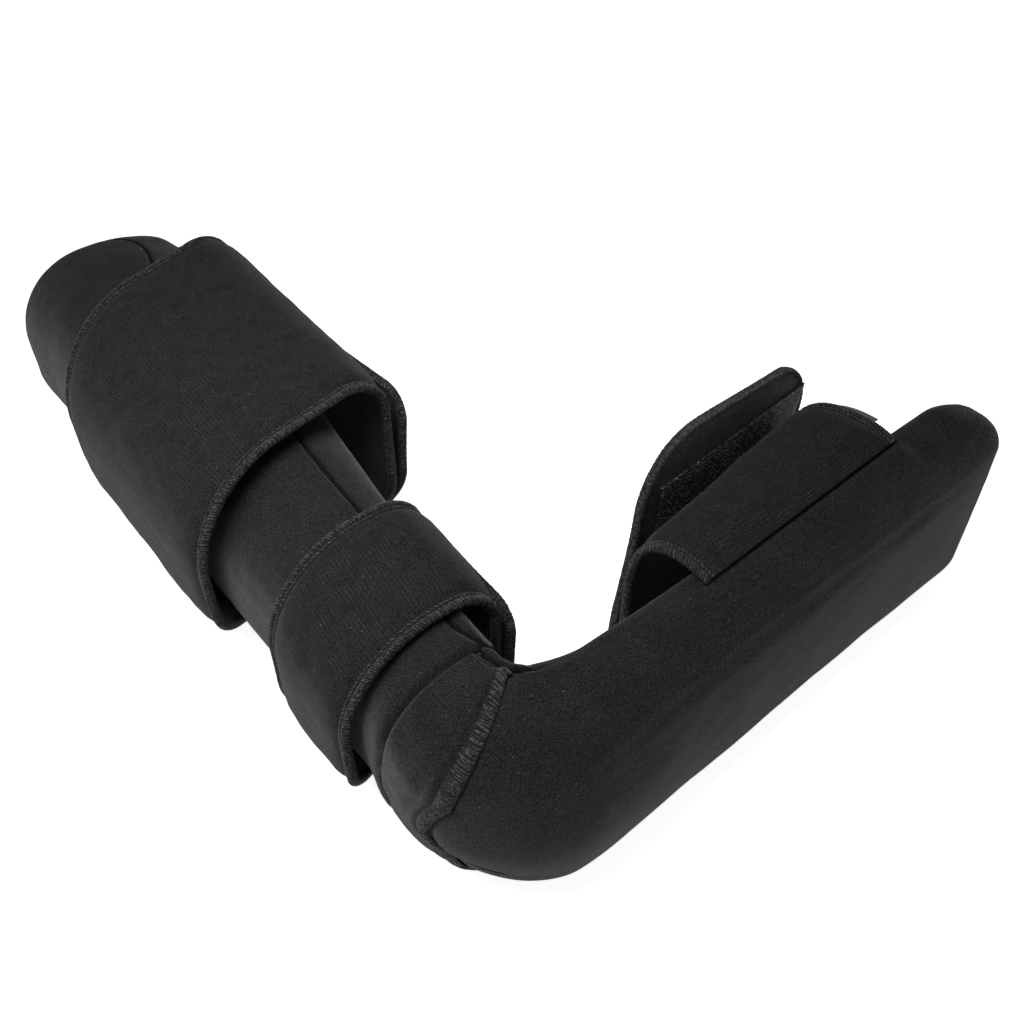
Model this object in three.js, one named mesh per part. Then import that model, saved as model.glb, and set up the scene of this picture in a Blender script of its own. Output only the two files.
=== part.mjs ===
// Ankle support: a padded L-shaped trough for the lower leg and foot, closed by wrap straps.
// Millimetres, +Z up. It lies on its side: foot along +X, leg along +Y, origin under its middle.
import * as THREE from "three";

const { clamp, lerp, smoothstep } = THREE.MathUtils;

// Padded trough
const FOOT_LENGTH = 262; // back of the heel to the toe end
const LEG_LENGTH = 347; // sole to the knee end
const HEEL_RADIUS = 42; // outside of the heel bend
const PAD = 12; // padded wall
const SEAM_GAP = 0.4; // between pieces that are sewn or lie together
const REST = 48; // middle plane of the support above the floor it lies on

// Straps
const STRAP = 4; // strap material
const HEM = 4.8; // over an overlocked edge
const HEM_WIDTH = 4.6;
const HOOK = 1.2; // hook tape
const SEWN = 1.2; // strap stitched down at a seam
const LEG_LAP = HEM + 0.6; // one lapped strap end over the other
const FOOT_LAP = HEM + HOOK + 2 * SEAM_GAP;

// Outside line of the L, from the knee end round the heel to the toe end
const LEG_STRAIGHT = LEG_LENGTH - HEEL_RADIUS;
const HEEL_ARC = (HEEL_RADIUS * Math.PI) / 2;
const HEEL_END = LEG_STRAIGHT + HEEL_ARC;
const TOE_END = HEEL_END + FOOT_LENGTH - HEEL_RADIUS;
const PAD_JOINT = LEG_STRAIGHT - 1; // the leg pad ends and the foot pad begins

// Cross-sections of the trough. along: on the outside line. high, low: middle plane to the upper
// side and to the lower side, which is pressed in where straps lie under it. depth: outside line
// to the rim. corner: outer radius. roll: how far the rim curls in. crown: bulge of the sole.
const TROUGH = [
  { along: 0, high: 45, low: 43, depth: 62, corner: 36, roll: 4, crown: 0 },
  { along: 12, high: 48, low: 44.6, depth: 76, corner: 38, roll: 8, crown: 0 },
  { along: 38, high: 49.5, low: 42.6, depth: 80, corner: 38, roll: 12, crown: 0 },
  { along: 123, high: 49.5, low: 42.6, depth: 70, corner: 38, roll: 11, crown: 0 },
  { along: 223, high: 46.5, low: 41.6, depth: 54, corner: 35, roll: 7, crown: 0 },
  { along: LEG_STRAIGHT - 8, high: 45.4, low: 39.4, depth: 41, corner: 31, roll: 3, crown: 0 },
  { along: LEG_STRAIGHT + 26, high: 47.5, low: 40.2, depth: 39.5, corner: 30, roll: 1, crown: 5 },
  { along: HEEL_END - 4, high: 48, low: 47.4, depth: 32, corner: 20, roll: 0, crown: 10 },
  { along: HEEL_END + 20, high: 48, low: 48, depth: 25.6, corner: 16, roll: 0, crown: 8.5 },
  { along: TOE_END - 170, high: 47.5, low: 48, depth: 25.4, corner: 16, roll: 0, crown: 6 },
  { along: TOE_END - 22, high: 47.5, low: 48, depth: 27, corner: 17.5, roll: 0, crown: 1.5 },
  { along: TOE_END - 8, high: 44.5, low: 44, depth: 24, corner: 13, roll: 0, crown: 1 },
  { along: TOE_END, high: 37, low: 36, depth: 18, corner: 10, roll: 0, crown: 0 },
];

// Straps round the leg, a row for each edge. at: height above the sole, halfway from back to
// front. rake: rise of the edge from back to front. under: its shift up the leg on the underside.
// back, front: from the outer back line. high: from the middle plane. end: side of the lapped
// free end. lift: its stand-off.
const CALF_EDGES = [
  { at: 158, rake: 17, under: 21, back: -9, front: 85, high: 56.5, end: 38, lift: 5 },
  { at: 286, rake: 30, under: 0, back: -7, front: 91, high: 57, end: 25, lift: 0 },
];
const ANKLE_EDGES = [
  { at: 60, rake: -1, under: 21, back: -7, front: 55, high: 48.4, end: 27, lift: 2 },
  { at: 113, rake: 1, under: 8, back: -4, front: 61, high: 49.2, end: 24, lift: 1 },
];
const CALF_RING = { backRadius: 42, frontRadius: 21, innerEnd: -22, endCorner: 14 };
const ANKLE_RING = { backRadius: 38, frontRadius: 20, innerEnd: -20, endCorner: 12 };

// Foot closure, a row for each edge. at: distance from the back of the heel. seam: height of the
// strap's seam. top: height of the arch over the sole. tip: how far the free tongue reaches over
// the middle plane. tongueAt: its edge near the tip.
const FOOT_EDGES = [
  { at: 107, seam: 16.5, top: 50.5, tip: 74, tongueAt: 118 },
  { at: 213, seam: 20.5, top: 66, tip: 50, tongueAt: 236 },
];
const FOOT_WIDTH = FOOT_EDGES[1].at - FOOT_EDGES[0].at;
const ARCH_UPPER = 49.8; // reach of the arch to the upper side
const ARCH_LOWER = REST - HEM / 2 - FOOT_LAP; // and to the lower side, inside the flap
const ARCH_SQUARENESS = 3.4; // 2 would be an ellipse
const STRAP_SHARE = 0.66; // of the arch, covered by the strap
const SEAM_TUCK = 1.3; // the strap bends in towards its seam
const STRAP_CORNER = 10;
const TONGUE_CORNER = 30;
const TONGUE_BOW = 6; // the tongue's end is bowed out in the middle
const FLAP_SEAM_DROP = 0.1; // its seam below the top of the rim
const HOOK_PLACE = { low: 0, high: 50, slant: -14, margin: 8 }; // slant: at the toe side
const TAB = { from: 0.12, to: 0.3, under: 3, beyond: 7, thick: 1 };

// Cuff over the joint of the two pads. Its edges on the outside line, at the back and the rims.
const CUFF = 2;
const CUFF_GAP = 1; // over the pads, which bend tightly here
const CUFF_HEM = 3.2;
const CUFF_UPPER = { back: LEG_STRAIGHT - 8, rim: LEG_STRAIGHT + 5 };
const CUFF_LOWER = { back: LEG_STRAIGHT + 16, rim: LEG_STRAIGHT + 77 };
const CUFF_REACH = { low: -1.6, high: 2.5 }; // across the trough, as in troughPoint

// Value of one column of the trough table between its rows, smooth and never beyond them.
function section(key, along) {
  const rows = TROUGH;
  let i = 0;
  while (i < rows.length - 2 && along > rows[i + 1].along) i += 1;
  const slope = (a) => (rows[a + 1][key] - rows[a][key]) / (rows[a + 1].along - rows[a].along);
  const here = slope(i);
  const before = i > 0 ? slope(i - 1) : here;
  const after = i < rows.length - 2 ? slope(i + 1) : here;
  const ease = (a, b) => (a * b > 0 ? (2 * a * b) / (a + b) : 0);
  const span = rows[i + 1].along - rows[i].along;
  const t = clamp((along - rows[i].along) / span, 0, 1);
  const blend = t * t * (3 - 2 * t);
  const bend = t * (1 - t) * span;
  const slopes = ease(before, here) * (1 - t) - ease(here, after) * t;
  return lerp(rows[i][key], rows[i + 1][key], blend) + bend * slopes;
}

function wallHeight(along) {
  return section("depth", along) - section("corner", along);
}

// Point on the outside line of the L and the direction in from it.
function outsideLine(along) {
  const turn = clamp((along - LEG_STRAIGHT) / HEEL_RADIUS, 0, Math.PI / 2);
  const legLeft = Math.max(LEG_STRAIGHT - along, 0);
  const footRun = Math.max(along - HEEL_END, 0);
  return {
    x: HEEL_RADIUS * (1 - Math.cos(turn)) + footRun,
    y: HEEL_RADIUS * (1 - Math.sin(turn)) + legLeft,
    inX: Math.cos(turn),
    inY: Math.sin(turn),
  };
}

// Point of the trough. across runs from -3 at the lower rim to 3 at the upper rim: one unit each
// for half the back, a corner and a wall. under is the depth below the outer face.
function troughPoint(across, along, under) {
  const reach = section(across < 0 ? "low" : "high", along);
  const corner = section("corner", along);
  const part = Math.abs(across);
  const turn = (clamp(part - 1, 0, 1) * Math.PI) / 2;
  const wall = Math.max(part - 2, 0);
  const radius = corner - under;
  const curl = section("roll", along) * wall ** 2;
  const side = (reach - corner) * Math.min(part, 1) + radius * Math.sin(turn) - curl;
  const bulge = section("crown", along) * Math.cos((Math.min(part, 2) * Math.PI) / 4) ** 2;
  const inward = corner - radius * Math.cos(turn) + wall * wallHeight(along) - bulge;
  const { x, y, inX, inY } = outsideLine(along);
  return new THREE.Vector3(x + inX * inward, y + inY * inward, Math.sign(across) * side);
}

// Half the thickness near an edge that is rounded like half a circle with a blunt tip.
function rounded(half, distance) {
  const reach = clamp(distance / half, 0, 1);
  return half * Math.max(Math.sqrt(1 - (1 - reach) ** 2), 0.35);
}

// Half the thickness of a sheet with an overlocked hem along an edge.
function hemmed(distance, body, hem) {
  const swell = clamp(HEM_WIDTH - distance, 0, 1);
  return rounded(lerp(body, hem, swell) / 2, distance);
}

// How much shorter a strap end is near its long edges, for a rounded corner.
function cornerCut(radius, distance) {
  const inset = radius - clamp(distance, 0, radius);
  return radius - Math.sqrt(radius ** 2 - inset ** 2);
}

// Grid lines from start to end, with extra lines at the given distances from both ends.
function lines(start, end, steps, edge) {
  const near = edge.map((distance) => start + distance);
  const far = edge.map((distance) => end - distance).reverse();
  const first = near[near.length - 1];
  const middle = [];
  for (let i = 1; i < steps; i += 1) middle.push(lerp(first, far[0], i / steps));
  return [...near, ...middle, ...far];
}

const HEM_LINES = [0, 0.8, 3.4, HEM_WIDTH];

// Closed solid of a sheet: mid(u, v) is its middle surface and half(u, v) half its thickness.
function sheet({ us, vs, mid, half }) {
  const tiny = 1e-3;
  const front = [];
  const back = [];
  for (const v of vs) {
    for (const u of us) {
      const alongU = mid(u + tiny, v).sub(mid(u - tiny, v));
      const alongV = mid(u, v + tiny).sub(mid(u, v - tiny));
      const out = alongU.cross(alongV).setLength(half(u, v));
      front.push(mid(u, v).add(out));
      back.push(mid(u, v).sub(out));
    }
  }
  const triangles = [];
  const quad = (a, b, c, d) => triangles.push(a, b, c, a, c, d);
  const at = (i, j) => j * us.length + i;
  const under = (i, j) => front.length + at(i, j);
  const right = us.length - 1;
  const top = vs.length - 1;
  for (let j = 0; j < top; j += 1) {
    for (let i = 0; i < right; i += 1) {
      quad(at(i, j), at(i + 1, j), at(i + 1, j + 1), at(i, j + 1));
      quad(under(i, j), under(i, j + 1), under(i + 1, j + 1), under(i + 1, j));
    }
    quad(at(0, j), at(0, j + 1), under(0, j + 1), under(0, j));
    quad(at(right, j), under(right, j), under(right, j + 1), at(right, j + 1));
  }
  for (let i = 0; i < right; i += 1) {
    quad(at(i, 0), under(i, 0), under(i + 1, 0), at(i + 1, 0));
    quad(at(i, top), at(i + 1, top), under(i + 1, top), under(i, top));
  }
  const geometry = new THREE.BufferGeometry().setFromPoints([...front, ...back]);
  geometry.setIndex(triangles);
  geometry.computeVertexNormals();
  return geometry;
}

const HALF_ACROSS = [0.5, 1, 1.25, 1.5, 1.75, 2, 2.3, 2.6, 2.8, 2.93, 3];
const ACROSS = [...HALF_ACROSS.map((across) => -across).reverse(), 0, ...HALF_ACROSS];

function pad(start, end, steps) {
  return sheet({
    us: ACROSS,
    vs: lines(start, end, steps, [0, 0.8, 2.4, 6]),
    mid: (across, along) => troughPoint(across, along, PAD / 2),
    half: (across, along) => {
      const toRim = (3 - Math.abs(across)) * wallHeight(along);
      const toEnd = Math.min(along - start, end - along);
      return Math.min(rounded(PAD / 2, toRim), rounded(PAD / 2, toEnd));
    },
  });
}

function ankleCuff() {
  const alongAt = (across, v) => {
    const share = (across / 3) ** 2;
    const upper = lerp(CUFF_UPPER.back, CUFF_UPPER.rim, share);
    return lerp(upper, lerp(CUFF_LOWER.back, CUFF_LOWER.rim, share), v);
  };
  const half = (across, v) => {
    const along = alongAt(across, v);
    const toUpper = along - alongAt(across, 0);
    const toHem = alongAt(across, 1) - along;
    return Math.min(hemmed(toHem, CUFF, CUFF_HEM), rounded(CUFF / 2, toUpper));
  };
  const { low, high } = CUFF_REACH;
  return sheet({
    us: [low, ...ACROSS.filter((across) => across > low && across < high - 0.1), high],
    vs: [0, 0.03, 0.3, 0.6, 0.84, 0.88, 0.97, 1],
    mid: (across, v) => troughPoint(across, alongAt(across, v), -CUFF_GAP - half(across, v)),
    half,
  });
}

// Path of a wrap strap round the leg: x from the back line to the front, y from the middle plane
// up. It goes up the shin from its inner end, over the upper side, down the back, along the floor
// and up over its own start.
function wrapPath({ back, front, high, end, lift }, { backRadius, frontRadius, innerEnd }) {
  const low = HEM / 2 - REST;
  const lap = front + LEG_LAP;
  const path = new THREE.Path();
  path.moveTo(front, innerEnd);
  path.absarc(front - frontRadius, high - frontRadius, frontRadius, 0, Math.PI / 2);
  path.absarc(back + backRadius, high - backRadius, backRadius, Math.PI / 2, Math.PI);
  path.absarc(back + backRadius, low + backRadius, backRadius, Math.PI, Math.PI * 1.5);
  path.absarc(lap - frontRadius, low + frontRadius, frontRadius, -Math.PI / 2, 0);
  path.quadraticCurveTo(lap, (low + frontRadius + end) / 2, lap + lift, end);
  return path;
}

// A strap between two edge paths: where(u, v) is a point of its path, u a share of its length and
// v the distance from the first edge. corner and bow shape the free end, at u = 1.
function strapBetween(paths, width, corner, bow = 0) {
  const lengths = paths.map((path) => path.getLength());
  const toEdge = (v) => Math.min(v, width - v);
  const endCut = (v) => cornerCut(corner, toEdge(v)) + bow * ((2 * v) / width - 1) ** 2;
  const length = (v) => lerp(...lengths, v / width) - endCut(v);
  const where = (u, v) => {
    const walk = length(v) * u;
    const [first, second] = paths.map((path, i) => path.getPointAt(clamp(walk / lengths[i], 0, 1)));
    return first.lerp(second, v / width);
  };
  const shares = (steps) => lines(0, lengths[0], steps, HEM_LINES).map((u) => u / lengths[0]);
  const across = lines(0, width, 3, [...HEM_LINES, 15]);
  return { length, toEdge, where, shares, across };
}

function wrapStrap(edges, ring) {
  const [lower, upper] = edges;
  const width = upper.at - lower.at;
  const paths = edges.map((edge) => wrapPath(edge, ring));
  const { length, toEdge, where, shares, across } = strapBetween(paths, width, ring.endCorner);
  const middle = (lower.front + lower.back) / 2;
  const depth = lower.front - lower.back;
  return sheet({
    us: shares(34),
    vs: across,
    mid: (u, v) => {
      const point = where(u, v);
      const rake = lerp(lower.rake, upper.rake, v / width);
      const shift = lerp(lower.under, upper.under, v / width) * smoothstep(-point.y, 0, REST);
      const rise = (rake * (point.x - middle)) / depth + shift;
      return new THREE.Vector3(point.x, lower.at + v + rise, point.y);
    },
    half: (u, v) => {
      const toEnd = Math.min(u, 1 - u) * length(v);
      return hemmed(Math.min(toEnd, toEdge(v)), STRAP, HEM);
    },
  });
}

// Arch of the foot closure: x is the side from the middle plane, y the height over the sole.
// A turn of 0 is the upper seam, 0.5 the top and 1 the lower seam.
function archPath({ seam, top, lower, from, to }) {
  const power = 2 / ARCH_SQUARENESS;
  const points = [];
  const count = 24;
  for (let i = 0; i <= count; i += 1) {
    const angle = Math.PI * lerp(from, to, i / count);
    const cos = Math.cos(angle);
    const side = (cos > 0 ? ARCH_UPPER : -lower) * Math.abs(cos) ** power;
    const height = Math.abs(Math.sin(angle)) ** power;
    points.push(new THREE.Vector2(side, lerp(seam, top, height)));
  }
  return new THREE.SplineCurve(points);
}

// Half the thickness of a foot strap, stitched down thin at its seam.
function sewnHalf(strap, u, v) {
  const walk = strap.length(v) * u;
  const toHem = Math.min(strap.toEdge(v), strap.length(v) - walk);
  const body = lerp(SEWN, STRAP, clamp(walk / 7, 0, 1));
  return Math.min(hemmed(toHem, STRAP, HEM), body / 2);
}

function footStrapShape() {
  const paths = FOOT_EDGES.map(({ seam, top }) =>
    archPath({ seam, top, lower: ARCH_LOWER, from: 0, to: STRAP_SHARE }));
  const strap = strapBetween(paths, FOOT_WIDTH, STRAP_CORNER);
  const point = (u, v) => {
    const place = strap.where(u, v);
    place.x -= SEAM_TUCK * (1 - smoothstep(strap.length(v) * u, 0, 9));
    return place;
  };
  return { strap, point };
}

function footStrap() {
  const { strap, point } = footStrapShape();
  return sheet({
    us: strap.shares(20),
    vs: strap.across,
    mid: (u, v) => {
      const place = point(u, v);
      return new THREE.Vector3(FOOT_EDGES[0].at + v, place.y, place.x);
    },
    half: (u, v) => sewnHalf(strap, u, v),
  });
}

// Point of the flap. Its tongue is set off towards the toes, and rises there with the strap.
function flapPoint(side, height, v) {
  const [heel, toe] = FOOT_EDGES;
  const share = smoothstep(side, -35, 45);
  const start = lerp(heel.at, heel.tongueAt, share);
  const x = lerp(start, lerp(toe.at, toe.tongueAt, share), v / FOOT_WIDTH);
  const setOff = x - heel.at - v;
  return new THREE.Vector3(x, height + (setOff * (toe.top - heel.top)) / FOOT_WIDTH, side);
}

// The flap runs from the lower seam up over the strap and on as a straight tongue.
function footFlap() {
  const paths = FOOT_EDGES.map(({ at, top, tip }) => {
    const seam = section("depth", HEEL_END + at - HEEL_RADIUS) - FLAP_SEAM_DROP;
    const crown = top + FOOT_LAP;
    const lower = ARCH_LOWER + FOOT_LAP;
    const path = new THREE.CurvePath();
    path.add(archPath({ seam, top: crown, lower, from: 1, to: 0.5 }));
    path.add(new THREE.LineCurve(new THREE.Vector2(0, crown), new THREE.Vector2(tip, crown)));
    return path;
  });
  const flap = strapBetween(paths, FOOT_WIDTH, TONGUE_CORNER, TONGUE_BOW);
  return sheet({
    us: flap.shares(20),
    vs: flap.across,
    mid: (u, v) => {
      const place = flap.where(u, v);
      return flapPoint(place.x, place.y, v);
    },
    half: (u, v) => sewnHalf(flap, u, v),
  });
}

// Hook tape on the inner face of the tongue
function hookTape() {
  const { low, high, slant, margin } = HOOK_PLACE;
  const inside = FOOT_LAP - STRAP / 2 - SEAM_GAP - HOOK / 2;
  const [heel, toe] = FOOT_EDGES;
  return sheet({
    us: lines(low, high, 4, [0]),
    vs: lines(margin, FOOT_WIDTH - margin, 4, [0]),
    mid: (side, v) => {
      const share = v / FOOT_WIDTH;
      return flapPoint(side + slant * share, lerp(heel.top, toe.top, share) + inside, v);
    },
    half: () => HOOK / 2,
  });
}

// Blank tab sewn under the toe-side hem of the foot strap
function strapTab() {
  const { point } = footStrapShape();
  const inside = HEM / 2 + SEAM_GAP + TAB.thick / 2;
  return sheet({
    us: lines(TAB.from, TAB.to, 5, [0]),
    vs: [FOOT_WIDTH - TAB.under, FOOT_WIDTH, FOOT_WIDTH + TAB.beyond],
    mid: (u, v) => {
      const place = point(u, FOOT_WIDTH);
      const tangent = point(u + 0.01, FOOT_WIDTH).sub(point(u - 0.01, FOOT_WIDTH)).normalize();
      const side = place.x - tangent.y * inside;
      const height = place.y + tangent.x * inside;
      return new THREE.Vector3(FOOT_EDGES[0].at + v, height, side);
    },
    half: () => TAB.thick / 2,
  });
}

const group = new THREE.Group();
const support = new THREE.Group();
group.add(support);

function add(name, geometry, color, roughness) {
  const material = new THREE.MeshStandardMaterial({ color, roughness, metalness: 0 });
  const mesh = new THREE.Mesh(geometry, material);
  mesh.name = name;
  support.add(mesh);
}

const PLUSH_BLACK = 0x17171a;
const KNIT_BLACK = 0x1e1e21;
add("leg_pad", pad(0, PAD_JOINT, 12), PLUSH_BLACK, 0.95);
add("foot_pad", pad(PAD_JOINT + SEAM_GAP, TOE_END, 20), PLUSH_BLACK, 0.95);
add("ankle_cuff", ankleCuff(), PLUSH_BLACK, 0.95);
add("calf_strap", wrapStrap(CALF_EDGES, CALF_RING), KNIT_BLACK, 0.9);
add("ankle_strap", wrapStrap(ANKLE_EDGES, ANKLE_RING), KNIT_BLACK, 0.9);
add("foot_strap", footStrap(), KNIT_BLACK, 0.9);
add("foot_flap", footFlap(), KNIT_BLACK, 0.9);
add("hook_tape", hookTape(), 0x101012, 0.5);
add("strap_tab", strapTab(), 0x3a3a3c, 0.6);

// Origin under the middle of the whole support
const box = new THREE.Box3().setFromObject(support);
const centre = box.getCenter(new THREE.Vector3());
support.position.set(-centre.x, -centre.y, -box.min.z);

export default group;
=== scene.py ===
# Looks of the ankle support: plush pads, ribbed knit straps with overlocked edges, hook tape, tab.
import math

import bpy
import numpy as np
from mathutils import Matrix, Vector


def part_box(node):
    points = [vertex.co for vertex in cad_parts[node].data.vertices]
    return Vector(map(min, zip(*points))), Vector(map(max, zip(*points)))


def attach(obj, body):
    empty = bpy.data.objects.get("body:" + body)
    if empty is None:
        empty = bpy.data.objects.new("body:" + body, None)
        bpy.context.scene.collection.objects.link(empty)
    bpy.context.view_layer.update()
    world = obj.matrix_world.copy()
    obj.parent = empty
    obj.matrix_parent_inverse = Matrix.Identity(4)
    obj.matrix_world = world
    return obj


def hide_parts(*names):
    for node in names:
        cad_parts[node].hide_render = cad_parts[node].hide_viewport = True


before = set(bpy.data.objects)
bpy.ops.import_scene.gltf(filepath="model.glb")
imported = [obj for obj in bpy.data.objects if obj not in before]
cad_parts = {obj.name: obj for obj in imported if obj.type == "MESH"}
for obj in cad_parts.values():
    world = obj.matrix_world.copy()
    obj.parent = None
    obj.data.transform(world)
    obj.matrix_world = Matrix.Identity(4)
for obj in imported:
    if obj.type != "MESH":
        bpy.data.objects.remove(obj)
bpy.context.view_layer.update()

MM = 0.001

# Padded trough, in millimetres: x along the foot, y up the leg, z from the middle plane
FOOT_LENGTH = 262
LEG_LENGTH = 347
HEEL_RADIUS = 42
PAD = 12
SEAM_GAP = 0.4
REST = 48

# Straps
STRAP = 4
HEM = 4.8
HOOK = 1.2
SEWN = 1.2
LEG_LAP = HEM + 0.6
FOOT_LAP = HEM + HOOK + 2 * SEAM_GAP

# Outside line of the L, from the knee end round the heel to the toe end
LEG_STRAIGHT = LEG_LENGTH - HEEL_RADIUS
HEEL_ARC = HEEL_RADIUS * math.pi / 2
HEEL_END = LEG_STRAIGHT + HEEL_ARC
TOE_END = HEEL_END + FOOT_LENGTH - HEEL_RADIUS
PAD_JOINT = LEG_STRAIGHT - 1

# Cross-sections of the trough. along: on the outside line. high, low: middle plane to the upper and
# the lower side. depth: outside line to the rim. corner: outer radius. roll: curl of the rim.
# crown: bulge of the sole.
TROUGH = [
    dict(along=0, high=45, low=43, depth=62, corner=36, roll=4, crown=0),
    dict(along=12, high=48, low=44.6, depth=76, corner=38, roll=8, crown=0),
    dict(along=38, high=49.5, low=42.6, depth=80, corner=38, roll=12, crown=0),
    dict(along=123, high=49.5, low=42.6, depth=70, corner=38, roll=11, crown=0),
    dict(along=223, high=46.5, low=41.6, depth=54, corner=35, roll=7, crown=0),
    dict(along=LEG_STRAIGHT - 8, high=45.4, low=39.4, depth=41, corner=31, roll=3, crown=0),
    dict(along=LEG_STRAIGHT + 26, high=47.5, low=40.2, depth=39.5, corner=30, roll=1, crown=5),
    dict(along=HEEL_END - 4, high=48, low=47.4, depth=32, corner=20, roll=0, crown=10),
    dict(along=HEEL_END + 20, high=48, low=48, depth=25.6, corner=16, roll=0, crown=8.5),
    dict(along=TOE_END - 170, high=47.5, low=48, depth=25.4, corner=16, roll=0, crown=6),
    dict(along=TOE_END - 22, high=47.5, low=48, depth=27, corner=17.5, roll=0, crown=1.5),
    dict(along=TOE_END - 8, high=44.5, low=44, depth=24, corner=13, roll=0, crown=1),
    dict(along=TOE_END, high=37, low=36, depth=18, corner=10, roll=0, crown=0),
]

# Straps round the leg, a row for each edge. at: height above the sole. rake: rise from back to
# front. under: shift up the leg on the underside. back, front: from the outer back line. high: from
# the middle plane. end: side of the lapped free end. lift: its stand-off.
CALF_EDGES = [
    dict(at=158, rake=17, under=21, back=-9, front=85, high=56.5, end=38, lift=5),
    dict(at=286, rake=30, under=0, back=-7, front=91, high=57, end=25, lift=0),
]
ANKLE_EDGES = [
    dict(at=60, rake=-1, under=21, back=-7, front=55, high=48.4, end=27, lift=2),
    dict(at=113, rake=1, under=8, back=-4, front=61, high=49.2, end=24, lift=1),
]
CALF_RING = dict(back_radius=42, front_radius=21, inner_end=-22, end_corner=14)
ANKLE_RING = dict(back_radius=38, front_radius=20, inner_end=-20, end_corner=12)

# Foot closure, a row for each edge. at: from the back of the heel. seam: height of the strap's seam.
# top: height of the arch. tip: reach of the free tongue. tongue_at: its edge near the tip.
FOOT_EDGES = [
    dict(at=107, seam=16.5, top=50.5, tip=74, tongue_at=118),
    dict(at=213, seam=20.5, top=66, tip=50, tongue_at=236),
]
FOOT_WIDTH = FOOT_EDGES[1]["at"] - FOOT_EDGES[0]["at"]
ARCH_UPPER = 49.8
ARCH_LOWER = REST - HEM / 2 - FOOT_LAP
ARCH_SQUARENESS = 3.4
STRAP_SHARE = 0.66
SEAM_TUCK = 1.3  # the foot strap is drawn in at its seam, over this run
SEAM_TUCK_RUN = 9
STRAP_CORNER = 10
TONGUE_CORNER = 30
TONGUE_BOW = 6
TONGUE_SHIFT = (-35, 45)  # sides between which the tongue moves towards the toes
FLAP_SEAM_DROP = 0.1
FLAP_SEWN_IN = 2.4  # its sewn edge goes this far into the rim
HOOK_PLACE = dict(low=0, high=50, slant=-14, margin=8)
TAB = {"from": 0.12, "to": 0.3, "under": 3, "beyond": 7, "thick": 1}

# Cuff over the joint of the two pads, edges on the outside line at the back and at the rims
CUFF_GAP = 1
CUFF_UPPER = dict(back=LEG_STRAIGHT - 8, rim=LEG_STRAIGHT + 5)
CUFF_LOWER = dict(back=LEG_STRAIGHT + 16, rim=LEG_STRAIGHT + 77)
CUFF_REACH = dict(low=-1.6, high=2.5)

# The corner that the sizes start from: back of the heel, under the sole, on the middle plane
CORNER = np.array([
    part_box("calf_strap")[0].x + (HEM / 2 - CALF_EDGES[0]["back"]) * MM,
    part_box("foot_pad")[0].y + max(row["crown"] for row in TROUGH) * MM,
    REST * MM,
])

# Seam of outer and inner cover along the rims: place across the wall, as in trough_point
RIM_SEAM = [
    dict(along=0, across=2.26),
    dict(along=16, across=2.52),
    dict(along=43, across=2.4),
    dict(along=183, across=2.25),
    dict(along=LEG_STRAIGHT - 17, across=2.25),
    dict(along=LEG_STRAIGHT, across=2.42),
    dict(along=LEG_STRAIGHT + 32, across=2.3),
    dict(along=LEG_STRAIGHT + 60, across=2.5),
    dict(along=LEG_STRAIGHT + 88, across=2.5),
]
RIM_SEAM_END = LEG_STRAIGHT + 67

# Edge of a strap: distance from the edge, thickness outside and inside the middle surface. A bead,
# a crease, a row of stitches, and the body that swells beside them.
HEM_SHAPE = [
    dict(edge=0, outer=0.3, inner=0.3),
    dict(edge=0.2, outer=0.9, inner=0.9),
    dict(edge=0.55, outer=1.3, inner=1.35),
    dict(edge=1.1, outer=1.55, inner=1.6),
    dict(edge=1.7, outer=1.5, inner=1.65),
    dict(edge=2.2, outer=1.2, inner=1.5),
    dict(edge=2.6, outer=0.85, inner=1.35),
    dict(edge=3.0, outer=0.95, inner=1.3),
    dict(edge=3.5, outer=1.1, inner=1.35),
    dict(edge=4.0, outer=1.05, inner=1.4),
    dict(edge=4.5, outer=0.85, inner=1.45),
    dict(edge=5.2, outer=1.35, inner=1.6),
    dict(edge=6.8, outer=2.1, inner=1.85),
    dict(edge=10, outer=2.75, inner=2.0),
    dict(edge=18, outer=3.1, inner=2.0),
]

# Overlock threads round an edge: radius, spacing, slant, how far in and how high their points lie,
# and how much each one strays. Then the stitches in the crease.
THREAD = 0.2
THREAD_PITCH = 0.85
THREAD_SLANT = 0.6
THREAD_REACH = np.array([2.6, 2.1, 1.5, 0.8, 0.25])
THREAD_LIFT = np.array([-0.8, 0.3, 0.5, 0.5, 0.3])
THREAD_STRAY = dict(ahead=0.22, reach=(0.86, 1.12), lift=(-0.4, 0.5))
THREAD_OVER_EDGE = 0.6
THREAD_SEED = 17
THREAD_SIDES = 4
THREAD_TIP = 0.4
STITCH = dict(inset=3.5, pitch=1.75, length=1.9, radius=0.27, slant=0.45)
STITCH_LIFT = np.array([-0.8, 0.2, 0.5, 0.2, -0.8])


# Shapes worked out from the sizes

def lerp(a, b, t):
    return a + (b - a) * t


def smoothstep(x, low, high):
    t = np.clip((x - low) / (high - low), 0, 1)
    return t * t * (3 - 2 * t)


def bell(x, width):
    return np.exp(-((x / width) ** 2))


def column(rows, key):
    return np.array([row[key] for row in rows], float)


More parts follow.
